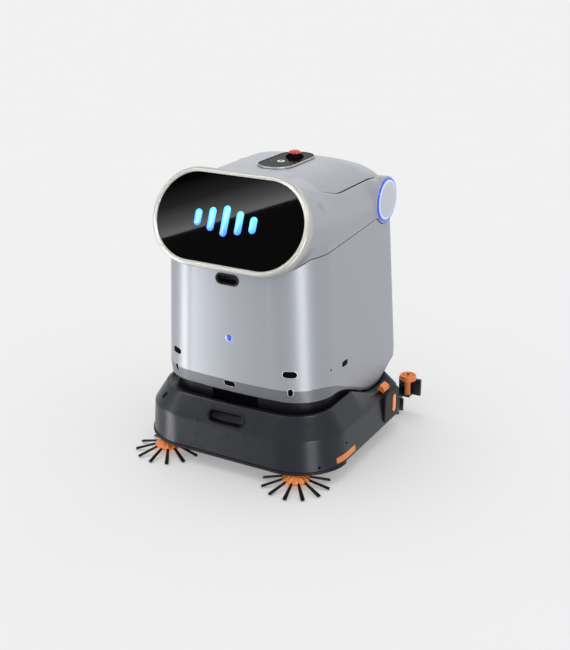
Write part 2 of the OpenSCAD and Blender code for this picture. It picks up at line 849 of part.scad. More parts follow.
// Front part: the display's stadium turns into the arch. Thin is the distance to the outside.
function head_front(share, thin) =
    let (back = bezel_depth - 4, rim_r = glass_r + bezel_w - 1)
    head_section(
        lerp(display_y + back * cos(display_tilt), arch_y, share),
        lerp(display_z - back * sin(display_tilt), shoulder_z, share),
        display_tilt * (1 - share),
        lerp(glass_straight + rim_r, body_top_half_w - 1, share) - thin,
        lerp(rim_r, body_top_half_w - 1, share) - thin,
        lerp(rim_r, crown_z - shoulder_z, share) - thin,
        lerp(rim_r, 40, share) - thin,
        lerp(rim_r, 80, share) - thin,
        share);

// Rear part: upright arches whose width rounds off at the rear corners.
function head_rear_section(y, thin) =
    let (
        into = max(0, y - (head_rear - head_corner)),
        reach = sqrt(max(0, pow(head_corner, 2) - pow(min(into, head_corner), 2))),
        half_w = body_top_half_w - 1 - head_corner + reach - thin,
        crown = crown_z - shoulder_z - rear_drop * ease((y - 140) / 120) - thin
    )
    head_section(y, shoulder_z, 0, half_w, half_w, crown, 40 - thin, 80, 1);

module helmet() {
    shares = [0, 0.25, 0.5, 0.75, 1];
    rears = [0, 60, 130, 175, 214, 232, 246, 256, head_rear - 1];
    loft(concat(
        [for (i = [len(rears) - 1:-1:0]) head_rear_section(rears[i], 0)],
        [for (i = [len(shares) - 1:-1:0]) head_front(shares[i], 0)],
        [for (s = shares) head_front(s, head_wall)],
        [for (i = [0:len(rears) - 2]) head_rear_section(rears[i], head_wall)]
    ));
}

module cover_zone(clear) {
    translate([0, 0, 600]) linear_extrude(200)
        polygon(plan(cover_half_w + clear, cover_front + clear, cover_rear + clear,
            cover_corner, 40));
}

module head_shell() {
    color(silver) difference() {
        union() {
            difference() {
                helmet();
                across(600) polygon(concat(seam_line(lid_gap, lid_rear_z),
                    [[seam_far, 300], [-seam_far, 300]]));
                cover_zone(gap);
            }
            both_sides() ear_boss();
        }
        rod_x(-300, 300, hinge_y, hinge_z, pin_r - fit);
    }
}

// Disc that carries the ear, with a half ring above it where the shoulder falls away.
module ear_boss() {
    rod_x(199, 208, hinge_y, hinge_z, ear_r);
    difference() {
        rod_x(cover_half_w + 1, 200, hinge_y, hinge_z, ear_r);
        rod_x(cover_half_w - 1, 202, hinge_y, hinge_z, ear_r - 6);
        block([160, hinge_y - 80, hinge_z - 80], [210, hinge_y + 80, hinge_z]);
    }
}

module top_cover() {
    color(silver) difference() {
        intersection() {
            helmet();
            cover_zone(0);
        }
        translate([0, (panel_front + panel_rear) / 2, 640]) linear_extrude(100)
            rotate(90) stadium((panel_rear - panel_front) / 2 - panel_half_w, panel_half_w + gap);
    }
}

module display_bezel() {
    color(champagne) on_display(4 - bezel_depth) linear_extrude(bezel_depth) difference() {
        stadium(glass_straight, glass_r + bezel_w);
        stadium(glass_straight, glass_r);
    }
}

module display_glass() {
    color("#08080a") on_display(-6) linear_extrude(6) stadium(glass_straight, glass_r - 0.2);
}

module control_panel() {
    color(ink) difference() {
        union() {
            translate([0, (panel_front + panel_rear) / 2, panel_top - 16]) linear_extrude(16)
                rotate(90) stadium((panel_rear - panel_front) / 2 - panel_half_w, panel_half_w);
            translate([0, stop_y, panel_top]) cylinder(h = collar_h, r = stop_r + 6.5);
        }
        translate([0, stop_y, panel_top - 20]) cylinder(h = 30, r = 8.4);
        translate([0, power_y, panel_top - 20]) cylinder(h = 30, r = power_r + 0.4);
    }
}

module e_stop_button() {
    color("#c0262b") translate([0, stop_y, 0]) {
        translate([0, 0, stop_top - 27]) cylinder(h = 20, r = 8);
        translate([0, 0, stop_top - 9]) cylinder(h = 4, r1 = 13, r2 = stop_r);
        translate([0, 0, stop_top - 5]) cylinder(h = 3, r = stop_r);
        translate([0, 0, stop_top - 2]) cylinder(h = 2, r1 = stop_r, r2 = 13);
    }
}

module power_button() {
    color("#e6e8ec") translate([0, power_y, panel_top - 12]) cylinder(h = 13.6, r = power_r);
}

module ear_lights() {
    color("#2a4fd0") both_sides() difference() {
        rod_x(208, 211, hinge_y, hinge_z, 54);
        rod_x(200, 220, hinge_y, hinge_z, 48.5);
    }
}

module ear_caps() {
    color("#c8c8d6") both_sides() {
        rod_x(208, 212, hinge_y, hinge_z, 48.2);
        rod_x(212, 213.5, hinge_y, hinge_z, 45);
    }
}

module hinge_pins() {
    color(steel) both_sides() rod_x(post_x - 1, 207.8, hinge_y, hinge_z, pin_r - fit);
}

base_shell();
chassis_frame();
bumper_strip();
neck_ring();
lidar_window();
lidar_sensor();
body_shell();
rear_cover();
grip_inserts();
side_strips();
tail_light_frames();
tail_light_lenses();
side_latches();
sensor_windows();
charging_contacts();
clean_tank();
recovery_tank();
tank_caps();
battery_pack();
vacuum_motor();
suction_duct();
water_pump();
control_board();
brush_motor();
brush_housing();
drive_belt();
wheel_motors();
side_brush_motors();
hinge_posts();
body_screws();
side_brush_hub();  // side_brush_hub_left
side_brush_tufts(left_turn);  // side_brush_tufts_left
mirror([1, 0, 0]) side_brush_hub();  // side_brush_hub_right
mirror([1, 0, 0]) side_brush_tufts(0);  // side_brush_tufts_right
roller_core();
roller_bristles();
roller_pulley();
motor_pulley();
drive_hub();  // drive_hub_left
drive_tyre();  // drive_tyre_left
mirror([1, 0, 0]) drive_hub();  // drive_hub_right
mirror([1, 0, 0]) drive_tyre();  // drive_tyre_right
caster_fork();  // caster_fork_left
caster_wheel();  // caster_wheel_left
mirror([1, 0, 0]) caster_fork();  // caster_fork_right
mirror([1, 0, 0]) caster_wheel();  // caster_wheel_right
squeegee_frame();
squeegee_blades();
squeegee_wheel();  // squeegee_wheel_left
mirror([1, 0, 0]) squeegee_wheel();  // squeegee_wheel_right
head_shell();
top_cover();
display_bezel();
display_glass();
control_panel();
ear_caps();
ear_lights();
hinge_pins();
e_stop_button();
power_button();
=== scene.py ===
import json
import math
import random
import bmesh
import bpy
from mathutils import Matrix, Vector
from mathutils.bvhtree import BVHTree


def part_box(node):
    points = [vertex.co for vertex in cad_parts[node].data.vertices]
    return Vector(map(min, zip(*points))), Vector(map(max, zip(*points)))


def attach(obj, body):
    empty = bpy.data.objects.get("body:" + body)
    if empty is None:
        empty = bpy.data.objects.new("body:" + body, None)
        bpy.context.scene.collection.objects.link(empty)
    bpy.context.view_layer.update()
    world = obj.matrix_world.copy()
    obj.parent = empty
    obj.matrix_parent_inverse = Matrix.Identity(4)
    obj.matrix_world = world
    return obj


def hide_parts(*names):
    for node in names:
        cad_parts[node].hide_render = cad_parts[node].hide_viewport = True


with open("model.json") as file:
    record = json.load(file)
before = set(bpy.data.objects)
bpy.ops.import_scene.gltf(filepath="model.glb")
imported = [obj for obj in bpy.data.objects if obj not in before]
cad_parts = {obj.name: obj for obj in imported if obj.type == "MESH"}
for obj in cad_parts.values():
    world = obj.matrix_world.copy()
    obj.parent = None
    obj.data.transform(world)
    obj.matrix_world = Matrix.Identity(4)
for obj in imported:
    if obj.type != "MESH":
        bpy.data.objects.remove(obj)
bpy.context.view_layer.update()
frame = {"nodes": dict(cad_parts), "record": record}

# All lengths below are in millimetres; MM turns them into the scene's metres.
MM = 0.001
rng = random.Random(7)


# ---------- Places read from the frame ----------

def span(node):
    """Lowest and highest corner of a CAD node, in millimetres."""
    low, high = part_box(node)
    return Vector(low) / MM, Vector(high) / MM


def middle(node):
    low, high = span(node)
    return (low + high) / 2


base_low, base_high = span("base_shell")
body_low, body_high = span("body_shell")
panel_low, panel_high = span("control_panel")
stop_low, stop_high = span("e_stop_button")
power_low, power_high = span("power_button")
glass_low, glass_high = span("display_glass")
ear_low, ear_high = span("ear_lights")

BASE_HALF_W = base_high.x
BASE_FRONT = -base_low.y
BASE_REAR = base_high.y
BASE_BOTTOM = base_low.z
RIM_Z = base_high.z
CREASE_Z = BASE_BOTTOM + 76
BODY_HALF_W = body_high.x
BODY_TOP_HALF_W = BODY_HALF_W - 14
BODY_FRONT = -body_low.y
BODY_REAR = body_high.y
BODY_TOP_REAR = BODY_REAR - 22
SEAM_Z = 539
SEAM_NOSE_Y = -159
BODY_REAR_EDGE = 541
HEAD_REAR_EDGE = 548.4
EAR = middle("ear_caps")
EAR_R = 57
EAR_X = ear_low.x * -1 - 3
DISPLAY_TILT = math.radians(22.7)
DISPLAY_NORMAL = Vector((0, -math.cos(DISPLAY_TILT), math.sin(DISPLAY_TILT)))
DISPLAY_THICK = 6
DISPLAY = (glass_low + glass_high) / 2 + DISPLAY_NORMAL * DISPLAY_THICK / 2
DISPLAY.x = 0
GLASS_STRAIGHT = 90
GLASS_R = glass_high.x - GLASS_STRAIGHT
BEZEL_R = 101
BEZEL_BACK = 20
CROWN_Z = 698
SHOULDER_Z = 590
ARCH_Y = -60
ARCH_HALF_W = BODY_TOP_HALF_W - 1
HEAD_REAR = BODY_TOP_REAR
HEAD_CORNER = 48
HOOD_RIM = 11.2
CHIN_R, CHIN_DROP = 40, 80
REAR_DROP = 24
WALL = 4
SKIRT_CORNER = 130
SKIRT_REAR_CORNER = 30
BODY_FLOOR = 196
BODY_CORNER = 108
BODY_REAR_CORNER = 48
BODY_BOW = 5
STRIP_Y = -109
GRIP_HALF, GRIP_R = 34, 15
PULL_HALF, PULL_R = 17, 10
PULL_Z = span("grip_inserts")[1].z - 14


# ---------- Curves shared with the CAD ----------

def lerp(a, b, t):
    return a + (b - a) * t


def ease(t):
    c = min(1.0, max(0.0, t))
    return c * c * (3 - 2 * c)


def body_edge(y):
    """Height of the body's bottom edge: level in front, dipping over the wheels, rising behind."""
    return BODY_FLOOR - 66 * ease((y + 95) / 225) + 38 * ease((y - 150) / 100)


def rim_edge(y):
    return min(RIM_Z, body_edge(y) - 5)


def seam(y):
    slope = 0.72 if y < SEAM_NOSE_Y else 0.07
    return SEAM_Z + slope * (y - SEAM_NOSE_Y)


def ring_below(y, radius):
    """Height of a circle's lower half about the ear, or a large value beside it."""
    reach = radius ** 2 - (y - EAR.y) ** 2
    return EAR.z - math.sqrt(reach) if reach > 0 else 1e6


def body_top(y):
    line = seam(y) if y < EAR.y else BODY_REAR_EDGE
    return min(line, ring_below(y, EAR_R + 3))


def head_bottom(y):
    line = seam(y) + 2 if y < EAR.y else HEAD_REAR_EDGE
    return min(line, ring_below(y, EAR_R + 1))


FRONT_STEPS, CORNER_STEPS, SIDE_STEPS, REAR_STEPS, BACK_STEPS = 14, 26, 36, 12, 14


def arc(centre_x, centre_y, radius, start, sweep, steps, last=1):
    """Points of an arc given in degrees; with last=0 its end point is left out."""
    angles = [math.radians(start + sweep * i / steps) for i in range(steps + last)]
    return [(centre_x + radius * math.cos(a), centre_y + radius * math.sin(a)) for a in angles]


def outline(half_w, front, rear, front_r, rear_r, bow=0.0):
    """Closed plan of one level, anticlockwise from the middle of the front."""
    corner_y = front_r + bow - front
    half = [((half_w - front_r) * i / FRONT_STEPS, bow * (i / FRONT_STEPS) ** 2 - front)
            for i in range(FRONT_STEPS)]
    half += arc(half_w - front_r, corner_y, front_r, -90, 90, CORNER_STEPS, 0)
    half += [(half_w, lerp(corner_y, rear - rear_r, i / SIDE_STEPS)) for i in range(SIDE_STEPS)]
    half += arc(half_w - rear_r, rear - rear_r, rear_r, 0, 90, REAR_STEPS, 0)
    half += [((half_w - rear_r) * (1 - i / BACK_STEPS), rear) for i in range(BACK_STEPS + 1)]
    return half + [(-x, y) for x, y in reversed(half[1:-1])]


def body_share(z):
    return (z - BODY_FLOOR) / (SEAM_Z - BODY_FLOOR)


def body_outline(share, grow=0.0):
    return outline(lerp(BODY_HALF_W, BODY_TOP_HALF_W, share) + grow, BODY_FRONT + grow,
                   lerp(BODY_REAR, BODY_TOP_REAR, share) + grow, BODY_CORNER + grow,
                   BODY_REAR_CORNER + grow, BODY_BOW)


def stadium(half_length, radius, steps=40, straights=8):
    """Closed stadium in local X and Y, anticlockwise."""
    points = []
    for side in (1, -1):
        points += [(side * x, side * y) for x, y in arc(half_length, 0, radius, -90, 180, steps)]
        points += [(side * half_length * (1 - 2 * i / straights), side * radius)
                   for i in range(1, straights)]
    return points


def rounded(half_x, half_y, radius, steps=6, straights=10):
    """Closed rectangle with rounded corners, anticlockwise from the lower right one."""
    corners = [arc(side_x * (half_x - radius), side_y * (half_y - radius), radius, start, 90, steps)
               for side_x, side_y, start in ((1, -1, -90), (1, 1, 0), (-1, 1, 90), (-1, -1, 180))]
    points = []
    for n, corner in enumerate(corners):
        (x0, y0), (x1, y1) = corner[-1], corners[(n + 1) % 4][0]
        points += corner
        points += [(lerp(x0, x1, i / straights), lerp(y0, y1, i / straights))
                   for i in range(1, straights)]
    return points


def stadium_rings(levels, half_length, radius, steps=40):
    """Nested stadiums; each level is (inset, height)."""
    return [[(x, y, h) for x, y in stadium(half_length, radius - inset, steps)]
            for inset, h in levels]


def circle(radius, steps=64):
    return arc(0, 0, radius, 0, 360, steps, 0)


# ---------- Mesh tools ----------

def mesh_object(name, points, faces):
    """A new object from points in millimetres."""
    mesh = bpy.data.meshes.new(name)
    mesh.from_pydata([Vector(p) * MM for p in points], [], faces)
    mesh.validate()
    obj = bpy.data.objects.new(name, mesh)
    bpy.context.scene.collection.objects.link(obj)
    return obj


def rectangle(name, x0, x1, y0, y1):
    return mesh_object(name, [(x0, y0, 0), (x1, y0, 0), (x1, y1, 0), (x0, y1, 0)], [(0, 1, 2, 3)])


def bake(obj):
    """Makes the object's modifiers part of its mesh."""
    graph = bpy.context.evaluated_depsgraph_get()
    graph.update()
    mesh = bpy.data.meshes.new_from_object(obj.evaluated_get(graph))
    obj.modifiers.clear()
    obj.data = mesh
    return obj


def tidy(obj, distance=0.02):
    """Merges doubled points and turns the faces outward."""
    work = bmesh.new()
    work.from_mesh(obj.data)
    bmesh.ops.remove_doubles(work, verts=work.verts, dist=distance * MM)
    bmesh.ops.recalc_face_normals(work, faces=work.faces)
    work.to_mesh(obj.data)
    work.free()
    return obj


def facing(obj, direction):
    """Turns an open skin so that its widest faces look the given way."""
    total = Vector()
    for polygon in obj.data.polygons:
        total += polygon.normal * polygon.area
    if total.dot(direction) < 0:
        obj.data.flip_normals()
    return obj


def thicken(obj, wall):
    solid = obj.modifiers.new("wall", "SOLIDIFY")
    solid.thickness = wall * MM
    solid.offset = -1
    return bake(obj)


def soften(obj, width=1.0, segments=3, angle=35):
    """Rounds the sharp edges and shades the rest smooth."""
    bevel = obj.modifiers.new("edges", "BEVEL")
    bevel.width = width * MM
    bevel.segments = segments
    bevel.limit_method = "ANGLE"
    bevel.angle_limit = math.radians(angle)
    bevel.use_clamp_overlap = True
    bake(obj)
    shade(obj, 40)
    weighted = obj.modifiers.new("normals", "WEIGHTED_NORMAL")
    weighted.keep_sharp = True
    return bake(obj)


def shade(obj, angle=40):
    for polygon in obj.data.polygons:
        polygon.use_smooth = True
    obj.data.set_sharp_from_angle(angle=math.radians(angle))
    return obj


def carve(obj, cutter):
    """Cuts the cutter out of the object and throws the cutter away."""
    cut = obj.modifiers.new("cut", "BOOLEAN")
    cut.operation = "DIFFERENCE"
    cut.solver = "EXACT"
    cut.object = cutter
    bake(obj)
    bpy.data.objects.remove(cutter)
    return obj


def join(name, objects):
    """One object from several, keeping their smooth shading."""
    work = bmesh.new()
    for obj in objects:
        work.from_mesh(obj.data)
    mesh = bpy.data.meshes.new(name)
    work.to_mesh(mesh)
    work.free()
    for obj in objects:
        bpy.data.objects.remove(obj)
    whole = bpy.data.objects.new(name, mesh)
    bpy.context.scene.collection.objects.link(whole)
    return shade(whole)


def loft(name, rings, closed=False, cap=False, last_cap=False, turn=None):
    """Skin over rings of equally many points. Closed joins the last ring to the first."""
    count = len(rings[0])
    points = [p for ring in rings for p in ring]
    faces = []
    pairs = len(rings) if closed else len(rings) - 1
    for r in range(pairs):
        low, high = r * count, (r + 1) % len(rings) * count
        for i in range(count):
            j = (i + 1) % count
            faces.append((low + i, low + j, high + j, high + i))
    if cap:
        faces.append(tuple(range(count))[::-1])
    if cap or last_cap:
        faces.append(tuple(range((len(rings) - 1) * count, len(rings) * count)))
    if turn is not None:
        points = [turn @ Vector(p) for p in points]
    return tidy(mesh_object(name, points, faces))


def revolve(name, profile, turn, steps=96):
    """Lathe of (radius, height) about local Z."""
    rings = [[(x, y, h) for x, y in circle(max(r, 0.01), steps)] for r, h in profile]
    return shade(loft(name, rings, cap=True, turn=turn), 30)


def grid(name, rows):
    """Open skin through rows of points."""
    count = len(rows[0])
    faces = [(r * count + i, r * count + i + 1, (r + 1) * count + i + 1, (r + 1) * count + i)
             for r in range(len(rows) - 1) for i in range(count - 1)]
    return mesh_object(name, [p for row in rows for p in row], faces)


def prism(name, plan, low, high, turn=Matrix.Identity(4)):
    """Solid over a plan in local X and Y."""
    rings = [[(x, y, h) for x, y in plan] for h in (low, high)]
    return loft(name, rings, cap=True, turn=turn)


def local_frame(origin, x_axis, up):
    """Matrix whose local Z is up and whose local X is x_axis."""
    z = Vector(up).normalized()
    y = z.cross(Vector(x_axis)).normalized()
    x = y.cross(z)
    turn = Matrix((x, y, z)).transposed().to_4x4()
    turn.translation = Vector(origin)
    return turn


def mirrored(obj, name):
    """Copy on the other side of the middle plane."""
    mesh = obj.data.copy()
    mesh.transform(Matrix.Scale(-1, 4, (1, 0, 0)))
    mesh.flip_normals()
    twin = bpy.data.objects.new(name, mesh)
    bpy.context.scene.collection.objects.link(twin)
    return twin


def softened_copy(node, width, segments=2):
    """Copy of a CAD node with flat faces merged and its sharp edges rounded."""
    work = bmesh.new()
    work.from_mesh(frame["nodes"][node].data)
    bmesh.ops.remove_doubles(work, verts=work.verts, dist=0.005 * MM)
    bmesh.ops.dissolve_limit(work, angle_limit=math.radians(0.6), verts=work.verts,
                             edges=work.edges)
    mesh = bpy.data.meshes.new(node)
    work.to_mesh(mesh)
    work.free()
    copy = bpy.data.objects.new(f"{node}_fine", mesh)
    bpy.context.scene.collection.objects.link(copy)
    return soften(copy, width, segments)


# ---------- Materials ----------

class Recipe:
    """A material under construction: a shader with textures in object space."""

    def __init__(self, name):
        self.material = bpy.data.materials.new(name)
        self.material.use_nodes = True
        self.tree = self.material.node_tree
        self.tree.nodes.clear()
        self.shader = self.tree.nodes.new("ShaderNodeBsdfPrincipled")
        output = self.tree.nodes.new("ShaderNodeOutputMaterial")
        self.link(self.shader.outputs[0], output.inputs["Surface"])
        self.place = self.tree.nodes.new("ShaderNodeTexCoord").outputs["Object"]

    def link(self, source, target):
        self.tree.links.new(source, target)

    def set(self, **values):
        for key, value in values.items():
            self.shader.inputs[key.replace("_", " ")].default_value = value

    def noise(self, scale, detail=4.0, stretch=(1, 1, 1)):
        mapping = self.tree.nodes.new("ShaderNodeMapping")
        mapping.inputs["Scale"].default_value = stretch
        self.link(self.place, mapping.inputs["Vector"])
        texture = self.tree.nodes.new("ShaderNodeTexNoise")
        texture.inputs["Scale"].default_value = scale
        texture.inputs["Detail"].default_value = detail
        self.link(mapping.outputs[0], texture.inputs["Vector"])
        return texture.outputs["Fac"]

    def ramp(self, source, stops, target):
        node = self.tree.nodes.new("ShaderNodeValToRGB")
        elements = node.color_ramp.elements
        while len(elements) < len(stops):
            elements.new(0.5)
        for element, (at, colour) in zip(elements, stops):
            element.position = at
            element.color = (*colour, 1)
        self.link(source, node.inputs["Fac"])
        self.link(node.outputs["Color"], self.shader.inputs[target])

    def span(self, source, low, high, target):
        node = self.tree.nodes.new("ShaderNodeMapRange")
        node.inputs["From Min"].default_value = 0.3
        node.inputs["From Max"].default_value = 0.7
        node.inputs["To Min"].default_value = low
        node.inputs["To Max"].default_value = high
        self.link(source, node.inputs["Value"])
        self.link(node.outputs[0], self.shader.inputs[target])

    def bump(self, source, strength, distance=0.2):
        node = self.tree.nodes.new("ShaderNodeBump")
        node.inputs["Strength"].default_value = strength
        node.inputs["Distance"].default_value = distance * MM
        self.link(source, node.inputs["Height"])
        self.link(node.outputs[0], self.shader.inputs["Normal"])

    def wave(self, axis, scale):
        texture = self.tree.nodes.new("ShaderNodeTexWave")
        texture.bands_direction = axis
        texture.inputs["Scale"].default_value = scale
        self.link(self.place, texture.inputs["Vector"])
        return texture.outputs["Fac"]

    def gradient(self, low, high, axis):
        """0 to 1 from low to high along one axis of the object, in millimetres."""
        split = self.tree.nodes.new("ShaderNodeSeparateXYZ")
        self.link(self.place, split.inputs[0])
        node = self.tree.nodes.new("ShaderNodeMapRange")
        node.inputs["From Min"].default_value = low * MM
        node.inputs["From Max"].default_value = high * MM
        self.link(split.outputs[axis], node.inputs["Value"])
        return node.outputs[0]


def shades(colour, spread):
    return [(0.3, tuple(c * (1 - spread) for c in colour)),
            (0.7, tuple(min(1, c * (1 + spread)) for c in colour))]


def moulded(name, colour, rough, spread=0.05, grain=900, depth=0.25, coat=0.0, metal=0.0,
            sheen=0.5, ior=1.5):
    """Moulded or painted finish: faint colour drift, uneven gloss and a fine grain."""
    recipe = Recipe(name)
    recipe.ramp(recipe.noise(14), shades(colour, spread), "Base Color")
    recipe.span(recipe.noise(60), rough * 0.88, rough * 1.12, "Roughness")
    recipe.bump(recipe.noise(grain, 2), depth)
    recipe.set(Metallic=metal, Coat_Weight=coat, Coat_Roughness=0.08, Specular_IOR_Level=sheen,
               IOR=ior)
    return recipe.material


def brushed(name, colour, rough, stretch):
    recipe = Recipe(name)
    lines = recipe.noise(260, 6, stretch)
    recipe.ramp(lines, shades(colour, 0.12), "Base Color")
    recipe.span(lines, rough * 0.8, rough * 1.25, "Roughness")
    recipe.bump(lines, 0.12)
    recipe.set(Metallic=1.0)
    return recipe.material


def paint(name, colour):
    """Satin paint with a little metal flake under a soft clear coat."""
    recipe = Recipe(name)
    recipe.ramp(recipe.noise(2600, 1), shades(colour, 0.05), "Base Color")
    recipe.span(recipe.noise(26), 0.38, 0.40, "Roughness")
    recipe.bump(recipe.noise(420, 2), 0.05, 0.08)
    recipe.set(Metallic=0.28, Coat_Weight=0.25, Coat_Roughness=0.22)
    return recipe.material


def lit(name, colours, strength, low, high, axis):
    """Lit plastic whose glow runs through the colours along an axis."""
    recipe = Recipe(name)
    stops = [(i / (len(colours) - 1), c) for i, c in enumerate(colours)]
    along = recipe.gradient(low, high, axis)
    recipe.ramp(along, stops, "Emission Color")
    recipe.ramp(recipe.noise(120), shades(colours[0], 0.08), "Base Color")
    recipe.span(recipe.noise(90), 0.18, 0.26, "Roughness")
    recipe.set(Emission_Strength=strength, Coat_Weight=0.4)
    return recipe.material


def ribbed(name, colour, scale, axis, rough, glow):
    recipe = Recipe(name)
    ribs = recipe.wave(axis, scale)
    recipe.ramp(ribs, shades(colour, 0.16), "Base Color")
    recipe.ramp(ribs, shades(colour, 0.2), "Emission Color")
    recipe.span(recipe.noise(80), rough * 0.85, rough * 1.2, "Roughness")
    recipe.bump(ribs, 0.5, 0.35)
    recipe.set(Emission_Strength=glow, Coat_Weight=0.3)
    return recipe.material


MATERIALS = {
    "body_paint": paint("satin_paint", (0.345, 0.360, 0.395)),
    "base_plastic": moulded("slate_moulding", (0.011, 0.013, 0.019), 0.30, grain=260,
                             depth=0.04, ior=1.36),
    "black_plastic": moulded("black_moulding", (0.007, 0.007, 0.009), 0.42, grain=1400,
                             ior=1.25),
    "black_gloss": moulded("black_gloss", (0.004, 0.004, 0.005), 0.14, grain=200, depth=0.01,
                           ior=1.06),
    "amber_plastic": moulded("amber_moulding", (0.84, 0.235, 0.035), 0.34, coat=0.15),
    "amber_lens": ribbed("amber_lens", (0.88, 0.24, 0.05), 90, "Z", 0.16, 0.18),
    "steel": brushed("brushed_steel", (0.36, 0.37, 0.39), 0.34, (1, 12, 12)),
    "contact_metal": brushed("contact_brass", (0.66, 0.46, 0.16), 0.22, (10, 1, 1)),
    "tank_plastic": moulded("milky_tank", (0.50, 0.62, 0.68), 0.32, grain=500),
    "dirty_tank_plastic": moulded("smoked_tank", (0.11, 0.12, 0.14), 0.30, grain=500),
    "battery_wrap": moulded("battery_wrap", (0.02, 0.035, 0.12), 0.30, spread=0.12),
    "board_green": moulded("solder_mask", (0.01, 0.08, 0.035), 0.25, spread=0.2, grain=300),
    "bristle_black": moulded("black_nylon", (0.006, 0.006, 0.007), 0.4, spread=0.3, grain=2400,
                             ior=1.3),
    "bristle_amber": moulded("amber_nylon", (0.70, 0.20, 0.03), 0.55, spread=0.3, grain=1600,
                             depth=0.8),
    "rubber": moulded("black_rubber", (0.009, 0.009, 0.011), 0.5, grain=1100, depth=0.4, ior=1.35),
    "tyre": ribbed("tyre_rubber", (0.013, 0.013, 0.014), 60, "DIAGONAL", 0.7, 0.0),
    "bezel_metal": moulded("champagne_satin", (0.51, 0.50, 0.47), 0.36, spread=0.03, grain=150,
                           depth=0.004, metal=0.45),
    "display_glass": moulded("black_glass", (0.0004, 0.0004, 0.0005), 0.03, depth=0.002,
                             ior=1.12),
    "ear_pearl": moulded("pearl_disc", (0.56, 0.57, 0.64), 0.30, spread=0.02, depth=0.04,
                         coat=0.3),
    "ear_light": lit("blue_ring", [(0.015, 0.07, 0.62), (0.03, 0.06, 0.66), (0.02, 0.10, 0.62)],
                     0.55, 545, 655, 2),
    "stop_red": moulded("stop_red", (0.52, 0.008, 0.010), 0.12, spread=0.1, depth=0.04, coat=1.0),
    "button_white": moulded("button_white", (0.72, 0.74, 0.78), 0.22, spread=0.03, depth=0.05,
                            coat=0.4),
    # Darker copy of the body paint for the lip below the crease: painted shade where the lip faces
    # downward
    "painted_shade_lip": paint("painted_shade_lip", (0.15, 0.157, 0.178)),
    "pale_ring": lit("pale_ring", [(0.55, 0.72, 0.95), (0.70, 0.80, 0.98)], 0.35, 545, 655, 2),
    "status_bar": lit("status_bar", [(0.03, 0.16, 0.95), (0.05, 0.50, 0.95), (0.10, 0.85, 0.92)],
                      1.5, 590, 640, 2),
    "thin_metal": moulded("thin_silver", (0.62, 0.62, 0.64), 0.3, grain=150, depth=0.01, metal=0.9),
    "grey_ink": moulded("grey_ink", (0.045, 0.047, 0.055), 0.3),
}
SLOT_OF = {item["node"]: item["material_slot"] for item in frame["record"]["subparts"]}


def dress(obj, material, body, *stands_for):
    """Gives a finished piece its material and its body, and hides the CAD nodes it stands for."""
    obj.data.materials.clear()
    obj.data.materials.append(MATERIALS[material])
    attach(obj, body)
    if stands_for:
        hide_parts(*stands_for)
    return obj


# ---------- Base ----------

def base_rings():
    """Levels of the skirt from the underside edge up over the rim and into the neck."""
    def mixed(low, high, t):
        return [(lerp(a[0], b[0], t), lerp(a[1], b[1], t)) for a, b in zip(low, high)]

    bottom = outline(BASE_HALF_W, BASE_FRONT, BASE_REAR, SKIRT_CORNER, SKIRT_REAR_CORNER)
    crease = outline(BASE_HALF_W - 8, BASE_FRONT - 1, BASE_REAR - 4, 124, 28)
    rim = outline(224, 215, BASE_REAR - 8, 100, 24, 4)
    shelf = outline(209, 189, BASE_REAR - 13, 97, 40, 4)
    rings = [[(x, y, BASE_BOTTOM) for x, y in bottom]]
    for t in (0.03, 0.25, 0.5, 0.75, 0.9, 0.96):
        rings.append([(x, y, lerp(BASE_BOTTOM, CREASE_Z, t)) for x, y in mixed(bottom, crease, t)])
    for t in (0.015, 0.05, 0.12, 0.25, 0.4, 0.55, 0.7, 0.85, 0.93):
        rings.append([(x, y, lerp(CREASE_Z, rim_edge(y) + 2 * (1 - t), t))
                      for x, y in mixed(crease, rim, t)])
    for inward, drop in ((0.0, 0.9), (0.12, 0.0), (0.28, 0.0), (0.42, 1.2), (0.55, 4.5), (1.0, 9)):
        rings.append([(x, y, rim_edge(y) - drop) for x, y in mixed(rim, shelf, inward)])
    return rings


def slope_frame():
    """Frame of the front grip on the sloping face: X across, Z straight out."""
    slope = math.radians(21)
    z = 137
    y = -lerp(BASE_FRONT - 1, 215, (z - CREASE_Z) / (RIM_Z - CREASE_Z))
    return local_frame((0, y, z), (1, 0, 0), (0, -math.cos(slope), math.sin(slope)))


def pull_frame():
    """Frame of the head's pull on the body's front: X across, Z straight out."""
    return local_frame((0, -BODY_FRONT, PULL_Z), (1, 0, 0), (0, -1, 0))


def make_base():
    shell = thicken(loft("skirt", base_rings()), WALL)
    carve(shell, prism("slot", stadium(GRIP_HALF, GRIP_R + 0.4), -30, 30, slope_frame()))
    notch = [(-70, BASE_REAR - 40), (70, BASE_REAR - 40), (70, BASE_REAR + 10),
             (-70, BASE_REAR + 10)]
    carve(shell, prism("notch", notch, -10, 112))
    soften(shell, 0.9)
    dress(shell, "base_plastic", "chassis", "base_shell")


def tray(name, turn, half_length, radius, depth):
    """Finger tray: a raised lip, a rounded wall and a dished floor, as nested stadiums."""
    levels = [(radius + 4, 0.0), (radius + 3.8, 1.1), (radius + 2.9, 1.6), (radius + 0.6, 1.6),
              (radius - 0.6, 1.0), (radius - 1.6, -1.0), (radius - 2.5, -6), (radius - 3, -depth + 9),
              (radius - 5, -depth + 5), (radius - 8, -depth + 3.4)]
    rings = [[(x, y, h) for x, y in stadium(half_length, r)] for r, h in levels]
    return shade(facing(loft(name, rings, last_cap=True, turn=turn), turn.col[2].xyz), 50)


def make_grips():
    front = tray("front", slope_frame(), GRIP_HALF, GRIP_R, 22)
    top = tray("top", pull_frame(), PULL_HALF, PULL_R, 20)
    grips = join("finger_trays", [front, top])
    dress(grips, "black_plastic", "chassis", "grip_inserts")


